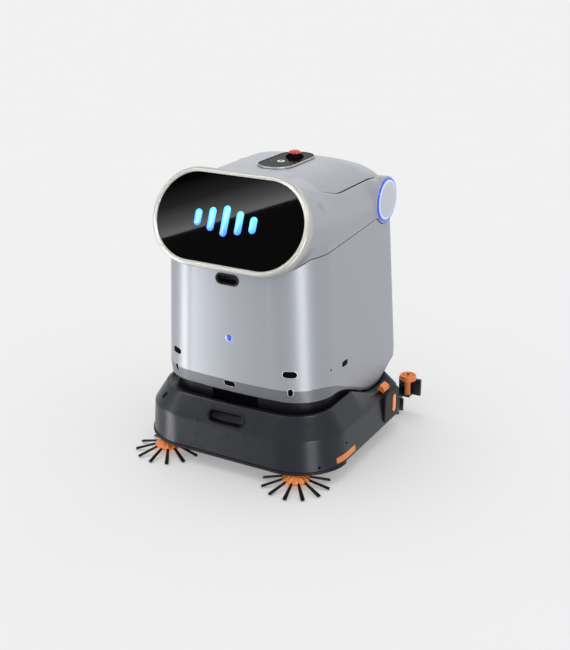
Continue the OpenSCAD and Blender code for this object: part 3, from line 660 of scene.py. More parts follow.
def make_bumper():
    """Rubber lip round the front, with two fine ribs, ending behind the front corners."""
    low, high = span("bumper_strip")
    height = high.z - low.z
    plan = outline(BASE_HALF_W, BASE_FRONT, BASE_REAR, SKIRT_CORNER, SKIRT_REAR_CORNER)
    keep = [p for p in plan if p[1] < -BASE_FRONT + 128]
    keep.sort(key=lambda p: math.atan2(p[0], -p[1] - 60))
    profile = [(-2.5, 0), (2.0, 0), (2.9, 0.8), (3.0, 2.2), (2.2, 2.6), (3.0, 3.0), (3.0, 4.2),
               (2.2, 4.6), (3.0, 5.0), (2.6, height - 0.3), (1.6, height), (-2.5, height)]
    rows = []
    for i, (x, y) in enumerate(keep):
        before, after = keep[max(i - 1, 0)], keep[min(i + 1, len(keep) - 1)]
        along = Vector((after[0] - before[0], after[1] - before[1], 0)).normalized()
        out = Vector((along.y, -along.x, 0))
        taper = ease(min(i, len(keep) - 1 - i) / 4)
        rows.append([Vector((x, y, low.z + h)) + out * (d if d < 0 else d * taper)
                     for d, h in profile])
    lip = shade(tidy(grid("bumper_lip", rows)), 45)
    dress(lip, "rubber", "chassis", "bumper_strip")


def make_neck():
    low, high = span("neck_ring")
    corner, rear_corner, bow = 96, 40, 4
    plan = outline(high.x, -low.y, high.y, corner, rear_corner, bow)
    rings = []
    for grow, z in ((0, low.z), (0, low.z + 3), (0, high.z - 4), (-2, high.z)):
        wide = outline(high.x + grow, -low.y + grow, high.y + grow, corner + grow,
                       rear_corner + grow, bow)
        rings.append([(x, y, z) for x, y in wide])
    collar = shade(thicken(loft("neck", rings), 5))
    dress(collar, "black_plastic", "chassis", "neck_ring")
    front = [p for p in plan if p[1] < 0 and abs(p[0]) < 69.5]
    front.sort()
    rows = [[(x, y - 0.25, z) for x, y in front] for z in (154.5, 160, 171, 182, 187.5)]
    window = thicken(grid("lidar_strip", rows), 3)
    dress(soften(tidy(window), 0.5), "black_gloss", "chassis", "lidar_window")


def make_side_strips():
    """Amber strips let into the skirt's sides, with rounded ends and a raised face."""
    low, high = span("side_strips")
    turn = local_frame((high.x - 0.6, STRIP_Y, (low.z + high.z) / 2), (0, 1, 0), (1, 0, 0.02))
    wall = surface_of(bpy.data.objects["skirt"])
    rings = []
    half_h = (high.z - low.z) / 2
    for inset, out in ((0, -1.5), (0, 0.5), (0.5, 1.0), (1.2, 1.2), (2.0, 1.1), (2.4, 0.7),
                       (4.0, 0.7), (5.5, 0.7), (half_h - 0.2, 0.7)):
        ring = []
        for u, v in rounded(42 - inset, half_h - inset, max(0.15, 3.2 - inset * 0.6)):
            world = turn @ Vector((u, v, 0))
            hit = wall.ray_cast(Vector((400, world.y, world.z)) * MM, Vector((-1, 0, 0)))[0]
            ring.append((hit.x / MM + out, world.y, world.z))
        rings.append(ring)
    strip = shade(loft("strip_left", rings, cap=True), 40)
    whole = join("amber_strips", [strip, mirrored(strip, "strip_right")])
    dress(whole, "amber_plastic", "chassis", "side_strips")


# ---------- Body ----------

def crease_z(y):
    """Height of the crease above the body's lip; it fades out towards the rear."""
    return body_edge(y) + 8 + 26 * (1 - ease((y + 150) / 120))


def body_rows():
    """Levels of the body's wall: rounded lip, crease, then straight up to the head's seam."""
    lip = outline(BODY_HALF_W - 1, BODY_FRONT - 10, BODY_REAR, 100, BODY_REAR_CORNER, BODY_BOW)
    low = body_outline(0)
    high = body_outline(1)
    rows = []
    for t in (0.0, 0.12, 0.35, 0.6, 0.82, 0.95):
        rows.append([(lerp(a[0], b[0], t), lerp(a[1], b[1], t),
                      lerp(body_edge(a[1]), crease_z(b[1]), t)) for a, b in zip(lip, low)])
    for t in [0.0, 0.006, 0.02] + [0.05 + 0.95 * i / 24 for i in range(25)]:
        row = []
        for a, b in zip(low, high):
            top = body_top(lerp(a[1], b[1], body_share(SEAM_Z)))
            z = lerp(crease_z(a[1]), top, t)
            share = body_share(z) if z > BODY_FLOOR else 0
            row.append((lerp(a[0], b[0], share), lerp(a[1], b[1], share), z))
        rows.append(row)
    return rows


def make_body():
    shell = thicken(loft("body_wall", body_rows()), WALL)
    carve(shell, prism("pull", stadium(PULL_HALF, PULL_R + 0.4), -16, 16, pull_frame()))
    hatch = [(-130.6, 225), (130.6, 225), (130.6, 320), (-130.6, 320)]
    carve(shell, prism("hatch", hatch, 239.4, 500.6))
    soften(shell, 1.2)
    dress(shell, "body_paint", "chassis", "body_shell")
    # Faces below the crease take the darker copy of the body paint: painted shade on the
    # downward-facing lip
    shell.data.materials.append(MATERIALS["painted_shade_lip"])
    for polygon in shell.data.polygons:
        centre = polygon.center / MM
        if centre.z < crease_z(centre.y) - 1:
            polygon.material_index = 1
    return shell


def surface_of(obj):
    return BVHTree.FromObject(obj, bpy.context.evaluated_depsgraph_get())


def inlay(name, wall, centre, out, half_length, radius, profile, long_axis=(0, 0, 1), cap=True):
    """Stadium trim that follows the wall under it; profile is (inset, height above the wall)."""
    turn = local_frame(centre, long_axis, out)
    rings = []
    for inset, height in profile:
        ring = []
        for u, v in stadium(half_length, max(radius - inset, 0.05), 20):
            start = turn @ Vector((u, v, 60))
            hit = wall.ray_cast(start * MM, -Vector(out).normalized())[0]
            point = (hit / MM) if hit is not None else turn @ Vector((u, v, 0))
            ring.append(point + Vector(out).normalized() * height)
        rings.append(ring)
    return shade(loft(name, rings, cap=cap), 35)


WINDOW = ((0, -1.5), (0, 0.35), (0.35, 0.6), (1.1, 0.6), (1.3, 0.2), (2.0, 0.25), (99, 0.3))
FRAME = ((0, -1.5), (0, 0.35), (0.3, 0.6), (0.9, 0.6), (1.2, 0.3), (1.2, -1.5))


def corner_place(side, turn, z):
    """Point and outward direction on a front corner of the body, at this turn from the side."""
    half_w = lerp(BODY_HALF_W, BODY_TOP_HALF_W, body_share(z))
    a = math.radians(turn)
    out = Vector((math.cos(a), math.sin(a), 0))
    at = Vector((half_w - BODY_CORNER, BODY_CORNER + BODY_BOW - BODY_FRONT, z)) + out * BODY_CORNER
    return Vector((side * at.x, at.y, at.z)), Vector((side * out.x, out.y, out.z))


def window_places():
    """Each window's centre, outward direction, half length, radius and long axis."""
    upright, across, forward = Vector((0, 0, 1)), Vector((1, 0, 0)), Vector((0, 1, 0))
    places = []
    for side in (1, -1):
        at, out = corner_place(side, -65, 269)
        places.append((at, out, 9, 8, Vector((-out.y, out.x, 0))))
        at, out = corner_place(side, -65, 224)
        places.append((at, out, 3.5, 6, upright))
        places.append((Vector((side * 217.5, -39, 254)), across * side, 8, 7.5, forward))
    places.append((Vector((0, 2 - BODY_FRONT, 219)), -forward, 7.5, 8, across))
    return places


def make_windows(wall):
    glasses, rims = [], []
    for i, (at, out, half, r, axis) in enumerate(window_places()):
        glasses.append(inlay(f"g{i}", wall, at, out, half, r, WINDOW, axis))
        rims.append(inlay(f"r{i}", wall, at, out, half, r + 1.0, FRAME, axis, cap=False))
    dress(join("sensor_glass", glasses), "black_gloss", "chassis", "sensor_windows")
    dress(join("sensor_rims", rims), "thin_metal", "chassis")


def make_status_lamp(wall):
    place = (Vector((2, -BODY_FRONT, 336)), Vector((0, -1, 0)), 0.5)
    ring = inlay("status_rim", wall, *place, 9.0, FRAME, cap=False)
    dress(ring, "thin_metal", "chassis")
    lamp = inlay("status_lamp", wall, *place, 7.8, ((0, -1), (0, 0.1), (0.5, 0.3), (7, 0.4)))
    dress(lamp, "ear_light", "chassis")


def make_small_dots(wall, skirt):
    """Pin-sized sensor on the body's side, and the buttons and screw on the skirt."""
    flat = ((0, -1), (0, 0.2), (0.5, 0.4), (2, 0.4))
    button = ((0, -1.5), (0, 0.8), (0.5, 1.2), (1.6, 1.2), (2.2, 0.9))
    dots = []
    for on, at, out, half, radius, profile, axis in (
            (wall, (215, STRIP_Y, 262), (1, 0, 0), 0.2, 2.4, flat, (0, 0, 1)),
            (skirt, (-190, -204, 145), (-0.62, -0.7, 0.35), 6, 4.2, button, (-0.4, 0.2, -0.8)),
            (skirt, (262, STRIP_Y, 84), (1, 0, 0), 0.2, 2.6, button, (0, 1, 0)),
            (skirt, (233, -193, 50), (0.8, -0.6, 0), 0.2, 3.4, button, (0, 0, 1))):
        dots.append(inlay("dot", on, Vector(at), Vector(out), half, radius, profile, axis))
    dress(join("small_dots", dots), "black_gloss", "chassis")


# ---------- Head ----------

def arch(y, tilt, centre_z, half_w, rise_rx, rise, base_rx, base, share, a):
    """Point of one section at angle a: -90 is the chin, 0 the shoulder and 90 the crown."""
    c, s = math.cos(a), math.sin(a)
    if a >= 0:
        reach = max(c, 0.0) ** lerp(1, 0.5, share)
        h = rise * max(s, 0.0) ** lerp(1, 1.2, share)
        x = half_w - rise_rx + rise_rx * reach
    else:
        h = base * s
        x = half_w - base_rx + base_rx * max(c, 0.0)
    return Vector((x, y + h * math.sin(tilt), centre_z + h * math.cos(tilt)))


def head_point(v, a, thin=0.0):
    """Head surface. v runs 0-1 over the display's hood, 1-2 along the arch, 2-3 round the back."""
    crown_rise = CROWN_Z - SHOULDER_Z
    if v <= 1:
        rim_r = GLASS_R + HOOD_RIM
        rim_y = DISPLAY.y + BEZEL_BACK * math.cos(DISPLAY_TILT)
        rim_z = DISPLAY.z - BEZEL_BACK * math.sin(DISPLAY_TILT)
        sizes = [lerp(rim, shoulder, v) - thin for rim, shoulder in (
            (GLASS_STRAIGHT + rim_r, ARCH_HALF_W), (rim_r, ARCH_HALF_W), (rim_r, crown_rise),
            (rim_r, CHIN_R), (rim_r, CHIN_DROP))]
        return arch(lerp(rim_y, ARCH_Y, v), DISPLAY_TILT * (1 - v), lerp(rim_z, SHOULDER_Z, v),
                    *sizes, v, a)
    if v <= 2:
        y, half_w, roll = lerp(ARCH_Y, HEAD_REAR - HEAD_CORNER, v - 1), ARCH_HALF_W, 0
    else:
        turn = math.radians(90 * (v - 2))
        y = HEAD_REAR - HEAD_CORNER + HEAD_CORNER * math.sin(turn)
        half_w = ARCH_HALF_W - HEAD_CORNER + HEAD_CORNER * math.cos(turn)
        roll = 30 * (1 - math.cos(turn))
    rise = crown_rise - REAR_DROP * ease((y - 140) / 120) - roll
    return arch(y, 0, SHOULDER_Z, half_w - thin, half_w - thin, rise - thin, CHIN_R - thin,
                CHIN_DROP, 1, a)


def cover_edge(v, y):
    """Half width of the crown's cover where its seam crosses this y."""
    x = 179 - (57 * (-y / 147) ** 1.6 if y < 0 else 0)
    if v > 2:
        turn = math.radians(90 * (v - 2))
        x *= 1 - HEAD_CORNER * (1 - math.cos(turn)) / ARCH_HALF_W
    return x


def solve(test, low, high):
    """Angle between low and high where the rising test turns positive."""
    for _ in range(24):
        mid = (low + high) / 2
        if test(mid) > 0:
            high = mid
        else:
            low = mid
    return (low + high) / 2


def arm_limits(v):
    quarter = math.pi / 2

    def above_bottom(a):
        point = head_point(v, a)
        return point.z - head_bottom(point.y)

    def inside_cover(a):
        point = head_point(v, a)
        return cover_edge(v, point.y) - point.x

    start = -quarter if above_bottom(-quarter) > 0 else solve(above_bottom, -quarter, 0.3)
    return start, solve(inside_cover, 0, quarter)


def head_stations():
    hood = [0.0, 0.01] + [i / 26 for i in range(1, 26)]
    return hood + [1 + i / 60 for i in range(60)] + [2 + i / 20 for i in range(21)]


ARM_ROWS = 44
COVER_ROWS = 30
COVER_GAP = 3.0 / 110
BOSS_X = EAR_X - 0.4


def body_x(y):
    """Half width of the body's top edge at this y."""
    front = max(0.0, BODY_CORNER + BODY_BOW - BODY_FRONT - y)
    rear = max(0.0, y - BODY_TOP_REAR + BODY_REAR_CORNER)
    x = BODY_TOP_HALF_W - BODY_CORNER + math.sqrt(max(0.0, BODY_CORNER ** 2 - front ** 2))
    return x - BODY_REAR_CORNER + math.sqrt(max(0.0, BODY_REAR_CORNER ** 2 - rear ** 2))


def meet_body(point, s):
    """Brings the arm's lower edge out over the body's wall."""
    weight = (1 - min(1.0, s / 0.4)) ** 2 * ease((point.y + 200) / 45)
    weight *= 1 - ease((point.y - EAR.y + 45) / 60)
    return Vector((lerp(point.x, body_x(point.y) - 0.6, weight), point.y, point.z))


def boss_blend(point, s, start, end):
    """Squares the arm up round the ear so that the boss grows out of it."""
    off = abs(point.y - EAR.y)
    weight = ease((88 - off) / 55)
    if weight == 0:
        return point
    corner_z = EAR.z + math.sqrt(max(0.0, EAR_R ** 2 - off ** 2)) - 7
    u = max(0.0, (s - 0.74) / 0.26)
    x = lerp(BOSS_X, end.x, u ** 1.4)
    z = lerp(start.z, corner_z, min(s, 0.74) / 0.74) + (end.z - corner_z) * (1 - (1 - u) ** 2)
    from_ear = (Vector((point.y, point.z)) - Vector((EAR.y, EAR.z))).length
    low = weight * ease((86 - from_ear) / 30)
    pushed = Vector((lerp(point.x, BOSS_X, low), point.y, point.z))
    blend = ease((s - 0.4) / 0.3) * weight
    return pushed.lerp(Vector((x, point.y, z)), blend)


DIMPLE = Vector((187, -114, 648))
DIMPLE_LONG = Vector((0.25, 0.35, -0.9)).normalized()


def dimple_depth(point):
    away = point - DIMPLE
    along = away.dot(DIMPLE_LONG)
    across = (away - DIMPLE_LONG * along).length
    rho = min(1.0, (along / 20) ** 2 + (across / 12.5) ** 2)
    return 4.0 * (1 - rho) ** 2


def arm_rows():
    rows = []
    for v in head_stations():
        low, high = arm_limits(v)
        start, end = head_point(v, low), head_point(v, high)
        row = []
        for k in range(ARM_ROWS + 1):
            s = k / ARM_ROWS
            point = meet_body(head_point(v, lerp(low, high, s)), s)
            point = boss_blend(point, s, start, end)
            rolled = 1.1 * ease((s - 0.86) / 0.1) * (1 - ease((s - 0.965) / 0.035))
            point = point + Vector((0.55, 0, 0.8)) * rolled * (1 - ease((v - 2.4) / 0.4))
            point.x -= dimple_depth(point) * 0.8
            point.z -= dimple_depth(point) * 0.6
            row.append(point)
        rows.append(row)
    return rows


def across(edge):
    """Joins an edge to its mirror image with straight rows over the flat between them."""
    steps = 10
    return [[Vector((lerp(p.x, -p.x, i / steps), p.y, p.z)) for p in edge]
            for i in range(steps + 1)]


def both_halves(name, rows, ridge=()):
    """Half skin, its mirror image and the flat back and ridge between them, as one mesh."""
    left = grid("half", rows)
    parts = [left, mirrored(left, "other_half"), grid("back", across(rows[-1]))]
    if ridge:
        parts.append(grid("ridge", across(ridge)))
    return tidy(join(name, parts), 0.3)


def ear_puck(side):
    turn = local_frame((0, EAR.y, EAR.z), (0, 1, 0), (side, 0, 0))
    profile = [(10, 176), (EAR_R - 3, 178), (EAR_R - 0.6, 182), (EAR_R, 190), (EAR_R, EAR_X - 4),
               (EAR_R - 0.7, EAR_X - 1.4), (EAR_R - 2.2, EAR_X), (EAR_R - 3.4, EAR_X - 0.6),
               (30, EAR_X - 0.6)]
    return revolve(f"puck{side}", profile, turn)


def make_head():
    shell = thicken(both_halves("hood", arm_rows()), 3.5)
    soften(shell, 1.2, 3, 50)
    whole = join("head_arms", [shell, ear_puck(1), ear_puck(-1)])
    dress(whole, "body_paint", "head", "head_shell")
    edges = [(v, arm_limits(v)[1]) for v in head_stations()]
    quarter = math.pi / 2
    rows = [[head_point(v, lerp(min(edge + COVER_GAP, quarter), quarter, k / COVER_ROWS), 2.0)
             for k in range(COVER_ROWS + 1)] for v, edge in edges]
    ridge = [row[-1] for (v, _), row in zip(edges, rows) if v <= 1]
    crown = thicken(both_halves("crown", rows, ridge), 3)
    mid_y = (panel_low.y + panel_high.y) / 2
    half = (panel_high.y - panel_low.y) / 2 - panel_high.x
    turn = local_frame((0, mid_y, 0), (0, 1, 0), (0, 0, 1))
    carve(crown, prism("panel_hole", stadium(half, panel_high.x + 0.6), 640, 730, turn))
    soften(crown, 1.0, 3, 50)
    dress(crown, "body_paint", "head", "top_cover")
    rows = [[head_point(v, min(edge + aside, quarter), 5.6) for aside in (-0.07, -0.02, 0.03, 0.08)]
            for v, edge in edges]
    dress(thicken(both_halves("seam_liner", rows), 1), "black_plastic", "head")


def display_frame():
    return local_frame(DISPLAY, (1, 0, 0), DISPLAY_NORMAL)


BAR_HALF_LENGTHS = (10, 18, 26, 18, 10)
BAR_LEFT, BAR_PITCH, BAR_R = -80, 36, 9


def make_display():
    turn = display_frame()
    profile = [(-0.2, -6), (-0.2, 1.2), (0.1, 2.2), (0.8, 2.7), (1.5, 2.5), (1.9, 2.6), (3.2, 3.5),
               (5.0, 4.0), (7.0, 3.8), (9.0, 2.9), (10.6, 1.2), (11.6, -1.2), (12.0, -4.5),
               (12.0, -19.5), (11.6, -20), (9.0, -20), (9.0, -8), (-0.2, -8)]
    rings = [[(x, y, h) for x, y in stadium(GLASS_STRAIGHT, BEZEL_R + r, 72)] for r, h in profile]
    bezel = shade(loft("bezel_ring", rings, closed=True, turn=turn), 50)
    dress(bezel, "bezel_metal", "head", "display_bezel")
    levels = [(0, -6), (0, -0.9), (0.25, -0.35), (0.8, -0.1), (1.4, 0), (1.7, 0), (2.2, 0), (60, 0)]
    rings = stadium_rings(levels, GLASS_STRAIGHT, GLASS_R, 72)
    glass = shade(loft("glass_pane", rings, cap=True, turn=turn), 30)
    dress(glass, "display_glass", "head", "display_glass")
    bars = []
    for i, half in enumerate(BAR_HALF_LENGTHS):
        x = BAR_LEFT + BAR_PITCH * i
        place = turn @ Matrix.Translation((x, -2, 0)) @ Matrix.Rotation(math.radians(90), 4, "Z")
        rings = stadium_rings(((0, -0.5), (0, 0.12), (0.3, 0.22), (8, 0.22)), half, BAR_R, 24)
        bars.append(shade(loft(f"bar{x}", rings, cap=True, turn=place), 30))
    dress(join("status_bars", bars), "status_bar", "head")


def make_panel():
    radius = panel_high.x
    half = (panel_high.y - panel_low.y) / 2 - radius
    mid_y = (panel_low.y + panel_high.y) / 2
    stop_y = (stop_low.y + stop_high.y) / 2
    power_y = (power_low.y + power_high.y) / 2
    top = power_high.z - 1.6
    turn = local_frame((0, mid_y, top), (0, 1, 0), (0, 0, 1))
    levels = [(0.4, -16), (0.4, -1.2), (0.9, -0.3), (1.8, 0), (2.6, -0.1), (3.0, -0.8),
              (20, -0.8), (44, -0.8)]
    rings = stadium_rings(levels, half, radius)
    plate = loft("plate", rings, cap=True, turn=turn)
    stop_place = Matrix.Translation((0, stop_y, 0))
    carve(plate, prism("stem_hole", circle(8.4), 640, 760, stop_place))
    power_place = Matrix.Translation((0, power_y, 0))
    carve(plate, prism("key_hole", circle(power_high.x + 0.4), 640, 760, power_place))
    shade(plate, 35)
    guard_r = stop_high.x + 0.8
    collar = revolve("collar", [(guard_r, -4), (guard_r, 4.6), (guard_r + 0.5, 5.2),
                                (guard_r + 1.6, 5.2), (guard_r + 3.4, 3.6), (guard_r + 5.0, 1.2),
                                (guard_r + 5.4, -0.8), (guard_r + 3, -4)],
                     Matrix.Translation((0, stop_y, top)))
    dress(join("control_plate", [plate, collar]), "black_gloss", "head", "control_panel")
    rim = [(-0.2, -3), (-0.2, -0.2), (0.4, 0.35), (1.3, 0.35), (1.8, -0.3)]
    rings = stadium_rings(rim, half, radius)
    dress(shade(loft("plate_rim", rings, turn=turn), 40), "thin_metal", "head")
    marks = []
    for x in (-22, 22):
        place = Matrix.Translation((x, power_y + 4, top - 0.8))
        marks.append(revolve(f"m{x}", [(5.2, 0), (5.2, 0.15), (6.4, 0.15), (6.4, 0)], place, 48))
    dress(join("panel_marks", marks), "grey_ink", "head")
    dome_r = stop_high.x
    base = stop_high.z - 9
    dome = [(7.9, base - 18), (7.9, base), (dome_r - 1.5, base + 0.1), (dome_r - 0.2, base + 0.8)]
    for i in range(13):
        a = math.radians(7.5 * i)
        dome.append((dome_r * math.cos(a), base + 1.6 + 7.4 * math.sin(a)))
    button = revolve("stop_dome", dome, stop_place)
    dress(button, "stop_red", "stop_button", "e_stop_button")
    r, z = power_high.x, power_high.z
    ring = revolve("power_ring", [(r, z - 13), (r, z - 0.7), (r - 0.5, z - 0.1), (r - 1.2, z),
                                  (r - 4.0, z), (r - 4.4, z - 0.5), (0, z - 0.5)], power_place)
    dress(ring, "button_white", "power_key", "power_button")
    core = revolve("power_core", [(4.2, z - 2), (4.2, z - 0.3), (3.8, z - 0.1), (0, z - 0.1)],
                   power_place)
    dress(core, "black_gloss", "power_key")


def make_ears():
    x0 = EAR_X
    parts = (
        ("ear_rings", "ear_light", ["ear_lights"],
         [(48.6, x0), (48.6, x0 + 2.2), (49.4, x0 + 2.8), (52.6, x0 + 2.7), (53.6, x0 + 2.0),
          (54, x0)]),
        ("ear_discs", "ear_pearl", ["ear_caps"],
         [(44.6, x0), (44.6, x0 + 3.9), (44.0, x0 + 4.6), (42.5, x0 + 5.1), (30, x0 + 5.3),
          (0, x0 + 5.4)]),
        ("ear_inner_rings", "pale_ring", [],
         [(44, x0), (44, x0 + 3.7), (45, x0 + 4.2), (47.2, x0 + 3.9), (48.1, x0 + 3.2),
          (48.1, x0)]))
    for name, material, nodes, profile in parts:
        pair = [revolve(f"{name}{side}", profile,
                        local_frame((0, EAR.y, EAR.z), (0, 1, 0), (side, 0, 0)))
                for side in (1, -1)]
        dress(join(name, pair), material, "head", *nodes)


# ---------- Pieces that keep the CAD's shape, with rounded edges ----------

def make_softened_pieces():
    for node, width, material in (("tail_light_frames", 2.2, "black_plastic"),
                              ("side_latches", 1.2, "amber_plastic"),
                              ("charging_contacts", 0.6, "contact_metal"),
                              ("rear_cover", 1.2, "body_paint"),
                              ("squeegee_frame", 1.0, "base_plastic"),
                              ("squeegee_blades", 0.6, "rubber"),
                              ("clean_tank", 2.0, "tank_plastic"),
                              ("recovery_tank", 2.0, "dirty_tank_plastic"),
                              ("tank_caps", 1.0, "black_plastic"),
                              ("battery_pack", 2.0, "battery_wrap")):
        body = "squeegee" if node.startswith("squeegee") else "chassis"
        dress(softened_copy(node, width), material, body, node)


def make_tail_lenses():
    low, high = span("tail_light_lenses")
    turn = local_frame((high.x - 4, 149, (low.z + high.z) / 2), (0, 0, 1), (1, 0, 0))
    rings = stadium_rings(((0, -2), (0, 2.6), (0.5, 3.5), (1.6, 4.0), (7, 4.0)), 16, 8, 24)
    lens = shade(loft("lens", rings, cap=True, turn=turn), 35)
    both = join("tail_lenses", [lens, mirrored(lens, "other_lens")])
    dress(both, "amber_lens", "chassis", "tail_light_lenses")


# ---------- Brushes and guide wheels ----------

TUFTS = 12
GOLDEN_ANGLE = 2.399963


def fluted_hub(centre, bottom):
    """Cone hub with a rib running down to every tuft and a cap on top."""
    steps = 24 * TUFTS
    rings = []
    for radius, height, flute in ((33.6, 0, 0.0), (33.8, 4.6, 0.0), (32.6, 6, 1.0), (27, 9.6, 2.2),
                                  (21, 13.6, 2.2), (16, 17.4, 1.4), (13, 19.2, 0.4), (10, 20, 0),
                                  (10, 24, 0), (9, 25, 0), (5.6, 25, 0)):
        ring = []
        for i in range(steps):
            a = math.tau * i / steps
            wave = max(0.0, math.cos(a * TUFTS)) ** 0.6 - 0.5
            r = radius + flute * wave
            ring.append((centre.x + r * math.cos(a), centre.y + r * math.sin(a),
                         bottom + height + flute * wave * 0.7))
        rings.append(ring)
    return shade(loft("hub", rings, cap=True), 32)


def tuft_mesh(name, centre, turn):
    """Twelve flared bundles of fine bristles leaning down to the floor."""
    points, faces = [], []
    root_r, root_z, reach = 27.0, 19.0, 82.6
    down = math.radians(15.0)
    strands, sides = 64, 5
    for t in range(TUFTS):
        bearing = math.radians(turn + 360 / TUFTS * t)
        out = Vector((math.cos(bearing), math.sin(bearing), 0))
        across = Vector((-out.y, out.x, 0))
        for n in range(strands):
            radius = math.sqrt((n + 0.5) / strands)
            angle = n * GOLDEN_ANGLE
            u, w = radius * math.cos(angle), radius * math.sin(angle)
            length = (reach - root_r) / math.cos(down) + rng.uniform(-2.2, 0.0)
            bend = rng.uniform(-0.5, 0.5)
            rings = []
            for step in range(4):
                f = step / 3
                spread = lerp(3.0, 5.0, f)
                centre_line = Vector((centre.x, centre.y, root_z)) + out * (
                    root_r + length * f * math.cos(down))
                centre_line.z -= length * f * math.sin(down)
                offset = across * (u * spread + bend * f * f) + Vector((0, 0, w * 2.4))
                rings.append(centre_line + offset)
            start = len(points)
            for step, p in enumerate(rings):
                thick = 0.5 if step < 3 else 0.36
                for k in range(sides):
                    a = math.tau * k / sides
                    points.append(p + across * thick * math.cos(a)
                                  + Vector((0, 0, thick * math.sin(a))))
            for step in range(3):
                for k in range(sides):
                    a, b = start + step * sides + k, start + step * sides + (k + 1) % sides
                    faces.append((a, b, b + sides, a + sides))
            faces.append(tuple(start + 3 * sides + k for k in range(sides)))
    return shade(mesh_object(name, points, faces), 60)


def make_side_brushes():
    for side, turn in (("left", 9.6), ("right", 0.0)):
        hub = f"side_brush_hub_{side}"
        centre = middle(hub)
        body = f"side_brush_{side}"
        cone = fluted_hub(centre, span(hub)[0].z)
        cone.name = f"fluted_hub_{side}"
        dress(cone, "amber_plastic", body, hub)
        tufts = tuft_mesh(f"bristles_{side}", centre, turn)
        dress(tufts, "bristle_black", body, f"side_brush_tufts_{side}")


def make_guide_wheels():
    for side in ("left", "right"):
        node = f"squeegee_wheel_{side}"
        low, high = span(node)
        r, top = (high.x - low.x) / 2, high.z
        place = Matrix.Translation(((low.x + high.x) / 2, (low.y + high.y) / 2, 0))
        profile = [(3.8, low.z), (8, low.z), (8, top - 14.6), (r - 3, top - 14.2), (r - 0.8, top - 13),
                   (r - 0.2, top - 11.4), (r - 1.6, top - 10.6), (r - 1.6, top - 8.6),
                   (r - 0.2, top - 7.6), (r - 0.2, top - 5.4), (r - 1.5, top - 4.8),
                   (r - 1.5, top - 3.0), (r - 0.3, top - 2.2), (r - 0.9, top - 0.5),
                   (r - 2.0, top - 0.1), (r - 4.2, top - 0.1), (r - 5.2, top - 3.2),
                   (8.0, top - 3.2), (7.4, top - 0.8), (6.4, top - 0.4), (3.8, top - 0.4)]
        parts = [revolve("rim", profile, place)]
        for i in range(5):
            turn = place @ Matrix.Rotation(math.tau * (i + 0.5) / 5, 4, "Z")
            bar = [(6.5, -1.6), (r - 3.6, -1.6), (r - 3.6, 1.6), (6.5, 1.6)]
            parts.append(soften(prism(f"s{i}", bar, top - 3.6, top - 1.2, turn), 0.5))
        dress(join(f"guide_wheel_{side}", parts), "amber_plastic", f"guide_wheel_{side}", node)
        screw = revolve(f"guide_screw_{side}", [(3.3, top - 3), (3.3, top - 0.9), (2.6, top - 0.3),
                                                (1.4, top - 0.3), (1.2, top - 1.4),
                                                (0, top - 1.4)], place, 32)
        dress(screw, "steel", f"guide_wheel_{side}")


# ---------- Everything ----------

make_base()
make_grips()
make_bumper()
make_neck()
make_side_strips()
body_surface = surface_of(make_body())
make_windows(body_surface)
make_status_lamp(body_surface)
make_small_dots(body_surface, surface_of(bpy.data.objects["skirt"]))
make_head()
make_display()
make_panel()
make_ears()
make_softened_pieces()
make_tail_lenses()
make_side_brushes()
make_guide_wheels()

for node, obj in frame["nodes"].items():
    obj.data.materials.clear()
    obj.data.materials.append(MATERIALS[SLOT_OF[node]])


# ---------- Floor, light and camera ----------

def floor_material():
    recipe = Recipe("floor")
    recipe.ramp(recipe.noise(3), shades((0.58, 0.58, 0.578), 0.004), "Base Color")
    recipe.span(recipe.noise(20), 0.72, 0.8, "Roughness")
    recipe.bump(recipe.noise(300, 2), 0.02)
    recipe.set(Specular_IOR_Level=0.0, Emission_Color=(1, 1, 0.99, 1), Emission_Strength=0.26)
    return recipe.material


FLOOR_REACH = 60000
floor = rectangle("floor", -FLOOR_REACH, FLOOR_REACH, -FLOOR_REACH, FLOOR_REACH)
floor.data.materials.append(floor_material())
floor.visible_glossy = False
floor.visible_shadow = False

scene = bpy.context.scene
scene.view_settings.view_transform = "Standard"
world = bpy.data.worlds.new("studio")
scene.world = world
world.use_nodes = True
sky = world.node_tree.nodes["Background"].inputs
sky["Color"].default_value = (0.98, 0.985, 1.0, 1)
sky["Strength"].default_value = 0.86

SUN_WAY = Vector((0.2, -0.05, -0.98))
sun_data = bpy.data.lights.new("sky_sun", "SUN")
sun_data.energy = 0.72
sun_data.angle = math.radians(50)
sun = bpy.data.objects.new("sky_sun", sun_data)
sun.rotation_mode = "QUATERNION"
sun.rotation_quaternion = SUN_WAY.to_track_quat("-Z", "Y")
sun.visible_glossy = False
scene.collection.objects.link(sun)


CARD_AIM = Vector((0, 0, 0.42))


def card(name, azimuth, elevation, distance, width, height, radiance):
    """Soft reflector seen only in glossy surfaces, in the direction given from the body."""
    a, e = math.radians(azimuth), math.radians(elevation)
    away = Vector((math.sin(a) * math.cos(e), -math.cos(a) * math.cos(e), math.sin(e)))
    data = bpy.data.lights.new(name, "AREA")
    data.shape = "RECTANGLE"
    data.size = width
    data.size_y = height
    data.energy = radiance * math.pi * width * height
    light = bpy.data.objects.new(name, data)
    light.location = CARD_AIM + away * distance
    light.rotation_mode = "QUATERNION"
    light.rotation_quaternion = (-away).to_track_quat("-Z", "Y")
    light.visible_camera = False
    light.visible_diffuse = False
    scene.collection.objects.link(light)


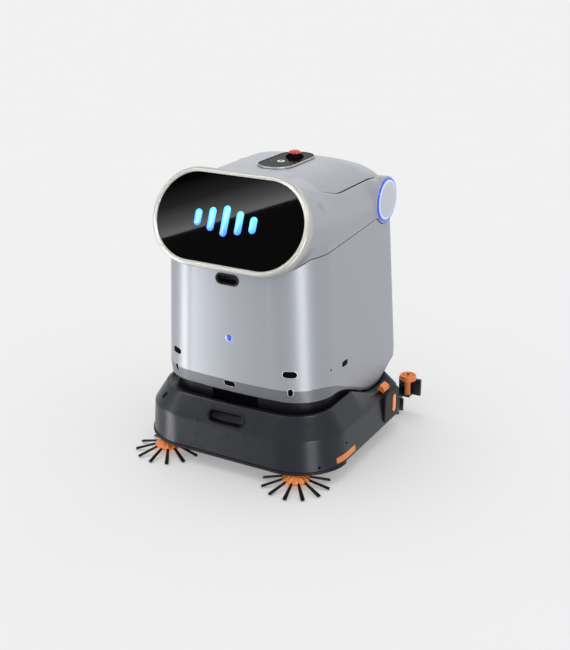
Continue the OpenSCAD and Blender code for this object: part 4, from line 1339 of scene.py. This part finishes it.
for settings in (("left_card", -52, -20, 2.6, 0.8, 2.2, 6.5),
                 ("corner_card", 55, -22, 2.6, 0.8, 2.0, 4.2),
                 ("back_card", 205, 24, 3.0, 3.0, 1.4, 0.35),
                 ("low_card", 56, 4, 2.6, 0.7, 0.5, 14.0),
                 ("slope_card", 74, 46, 2.6, 0.8, 0.9, 8.0),
                 ("side_card", 150, 22, 3.0, 1.7, 3.4, 0.3)):
    card(*settings)

CAMERA = Vector((1.2663, -2.2051, 1.2819))
CAMERA_AIM = Vector((0, 0.0594, 0.2763))
CAMERA_LENS = 60.92
camera_data = bpy.data.cameras.new("camera")
camera_data.lens = CAMERA_LENS
camera_data.sensor_width = 36
camera = bpy.data.objects.new("camera", camera_data)
camera.location = CAMERA
camera.rotation_mode = "QUATERNION"
camera.rotation_quaternion = (CAMERA_AIM - CAMERA).to_track_quat("-Z", "Y")
scene.collection.objects.link(camera)
scene.camera = camera


# How far past the display the sheet stands, as a multiple of the way from the mirrored camera,
# and where the lower edge of its image runs over the display, in millimetres and degrees.
GLEAM_REACH = 1.6
GLEAM_RISE = 5
GLEAM_TURN = 22.5


def make_gleam():
    """Bright sheet whose mirror image lies over the upper part of the display."""
    recipe = Recipe("gleam")
    recipe.set(Base_Color=(0, 0, 0, 1), Emission_Strength=36.0)
    fade = recipe.gradient(0, 190, 1)
    recipe.ramp(fade, [(0.0, (1, 1, 1)), (0.14, (0.5, 0.5, 0.5)), (0.34, (0.12, 0.12, 0.12)),
                       (0.62, (0.004, 0.004, 0.004))],
                "Emission Color")
    sheet = rectangle("gleam", -700, 700, 0, 300)
    sheet.data.materials.append(recipe.material)
    origin = DISPLAY * MM
    behind = CAMERA - 2 * (CAMERA - origin).dot(DISPLAY_NORMAL) * DISPLAY_NORMAL
    line = (Matrix.Translation((0, GLEAM_RISE * MM, 0))
            @ Matrix.Rotation(math.radians(GLEAM_TURN), 4, "Z"))
    place = display_frame()
    place.translation = origin
    sheet.matrix_world = (Matrix.Translation(behind) @ Matrix.Scale(GLEAM_REACH, 4)
                          @ Matrix.Translation(-behind) @ place @ line)
    for seen in ("visible_camera", "visible_diffuse", "visible_shadow", "visible_transmission"):
        setattr(sheet, seen, False)


make_gleam()
